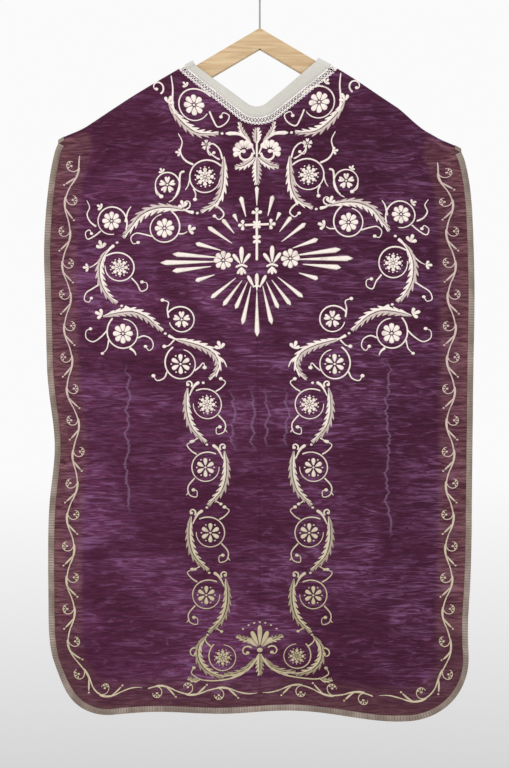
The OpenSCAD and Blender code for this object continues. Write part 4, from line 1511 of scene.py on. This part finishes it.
def arm_columns(grow_in, grow_out, count):
    """Plan points on the shoulder line between two offsets from the neck edge, on the back."""
    first, last = (neck_edge(*BACK_NECK, g, 40)[-1] for g in (grow_in, grow_out))
    return resample([first, last], count)


for side, word in ((-1, "left"), (1, "right")):
    columns = arm_columns(-1.0, float(guard_width(side * 100.0)), 9)
    rows_of_points = over_arm(columns, 1.0, side, -3, 183, 46)
    guards.append(shoulder_band(f"linen_guard_shoulder_{word}", rows_of_points, linen))
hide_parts("neck_linen_shoulders")
print("linen pieces:", [piece.name for piece in guards])

# %% Lace threads
LACE = 13.0             # its width
LACE_PITCH = 9.6        # from one tooth of a zigzag to the next
SHOULDER_LACE = 52.0    # how much of it goes over a shoulder


def lace_threads(length, width):
    """The lace on a strip of its own, as (path, half width) pairs in (along, out) millimetres: two
    straight cords, two zigzags that cross, and loops that are a sine without its sign. With them
    come the knots' places along the strip, one in each diamond between the zigzags."""
    s = np.arange(0, length, LACE_PITCH / 12)
    threads = [(np.stack([s, 0 * s + off], 1), half) for off, half in ((0.8, 1.15), (width - 3.2, 0.8))]
    saw = 2 * np.abs((s / LACE_PITCH) % 1 - 0.5)
    for flip in (0, 1):
        reach = np.abs(flip - saw)
        threads.append((np.stack([s, 1.0 + (width - 4.6) * reach], 1), 0.6))
    loops = width - 3.2 + 2.6 * np.abs(np.sin(np.pi * s / (LACE_PITCH / 2)))
    threads.append((np.stack([s, loops], 1), 0.55))
    knots = np.arange(LACE_PITCH / 2, length, LACE_PITCH / 2)
    return threads, knots


threads, knots = lace_threads(100.0, LACE)
print("threads:", len(threads), "and knots in 100 mm:", len(knots))

# %% Make the lace
def lace_piece(name, back, node):
    """The lace beside the linen of one panel: its strip bent along the neck edge."""
    line, normal = neck_line(back, 120)
    along = distances(line)
    threads, knots = lace_threads(along[-1], LACE)
    work = Work()

    def bend(path):
        """A path on the strip, bent along the neck."""
        base = np.stack([np.interp(path[:, 0], along, line[:, k]) for k in (0, 1)], 1)
        side = np.stack([np.interp(path[:, 0], along, normal[:, k]) for k in (0, 1)], 1)
        start = guard_width(base[:, 0] * (1 if back else -1)) - 1.0
        return base + side * (start + path[:, 1])[:, None]

    for path, half in threads:
        work.line(bend(path), half, 0.8, 6)
    for s in knots:
        work.bead(bend(np.array([(s, 0.4 + (LACE - 3.6) / 2)]))[0], 0.8, 0.9)
    piece = work.piece(name, lace_cotton, back)
    hang(piece, back, "lace", node)
    return piece


def shoulder_lace(name, side):
    """The lace over one shoulder: its strip carried round the hanger's arm. A point past either
    end of the strip is folded back, so that no thread runs below the shoulder line."""
    start = float(guard_width(side * 100.0)) - 1.0
    first, last = arm_columns(start, start + LACE, 2)
    width = np.linalg.norm(last - first)
    work = Work()
    for path, half in lace_threads(SHOULDER_LACE, width)[0]:
        work.line(path, half, 0.8, 6)
    points, quads, triangles = work.arrays()
    turn = np.pi - np.abs(np.pi - np.abs(points[:, 0] / SHOULDER_LACE * np.pi))
    base = first + (last - first) * (points[:, 1] / width)[:, None]
    if side > 0:
        quads, triangles = quads[:, ::-1], triangles[:, ::-1]
    piece = new_piece(name, on_arm(base, turn, points[:, 2], side), quads, lace_cotton, triangles)
    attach(piece, "garment")
    return piece


laces = [lace_piece("lace_back", True, "neck_lace_back"),
         lace_piece("lace_front", False, "neck_lace_front"),
         shoulder_lace("lace_shoulder_left", -1), shoulder_lace("lace_shoulder_right", 1)]
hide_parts("neck_lace_shoulders")
print("lace pieces:", len(laces))

# %% [markdown]
# ## Sheets and floor
#
# The flat area that half of each panel was cut to is worked out from its plan. The floor lies
# well below the hem, because the vestment hangs from its hook.

# %% Sheets
def cut_area(back, spacing=6):
    """Flat area of half a panel, in square metres: half the cross products of its plan's cells."""
    plan, _ = half_plan(back, spacing)
    a, b, c, d = plan[:-1, :-1], plan[:-1, 1:], plan[1:, 1:], plan[1:, :-1]
    p, q = c - a, d - b
    return np.abs(p[..., 0] * q[..., 1] - p[..., 1] * q[..., 0]).sum() / 2 * MM * MM


ARM_STRIP = 0.235 * 0.045   # the strip over the hanger's arm, in square metres
areas = {"back": cut_area(True) + ARM_STRIP, "front": cut_area(False)}
for (word, half), piece in silks.items():
    trim = [t for t in trims[word] if t.name.endswith(half)]
    trim += [b for b in braids if word in b.name and half in b.name]
    if half == "right":
        trim += [t for t in trims[word] if not t.name.endswith(("left", "right"))]
    if word == "back":
        trim += [b for b in braids if b.name == f"galloon_shoulder_{half}"]
guard_flats = [(0.035, 0.27), (0.035, 0.35)]
guard_flats += [(float(guard_width(side * 100.0) + 1) * MM, 0.055) for side in (-1, 1)]
print("flat areas of half a panel, m2:", {word: round(float(area), 3) for word, area in areas.items()})

# %% Floor
def floor():
    """A pale plane half a metre below the hem, far from the cloth and out of the long view."""
    side, rear, drop = 3.2, 1.6, BACK_HEM * MM - 0.55
    corners = np.array([(-side, -side, drop), (side, -side, drop), (side, rear, drop), (-side, rear, drop)])
    r = Recipe("pale floor", Roughness=0.9)
    speck = r.noise(r.stretched((3, 3, 3)), detail=2)
    finish = r.finish(r.blend(speck, tint(226, 225, 222), tint(234, 233, 230)))
    new_piece("floor", corners, np.array([[0, 1, 2, 3]]), finish)
    return drop


print("floor at", round(floor(), 3), "m")
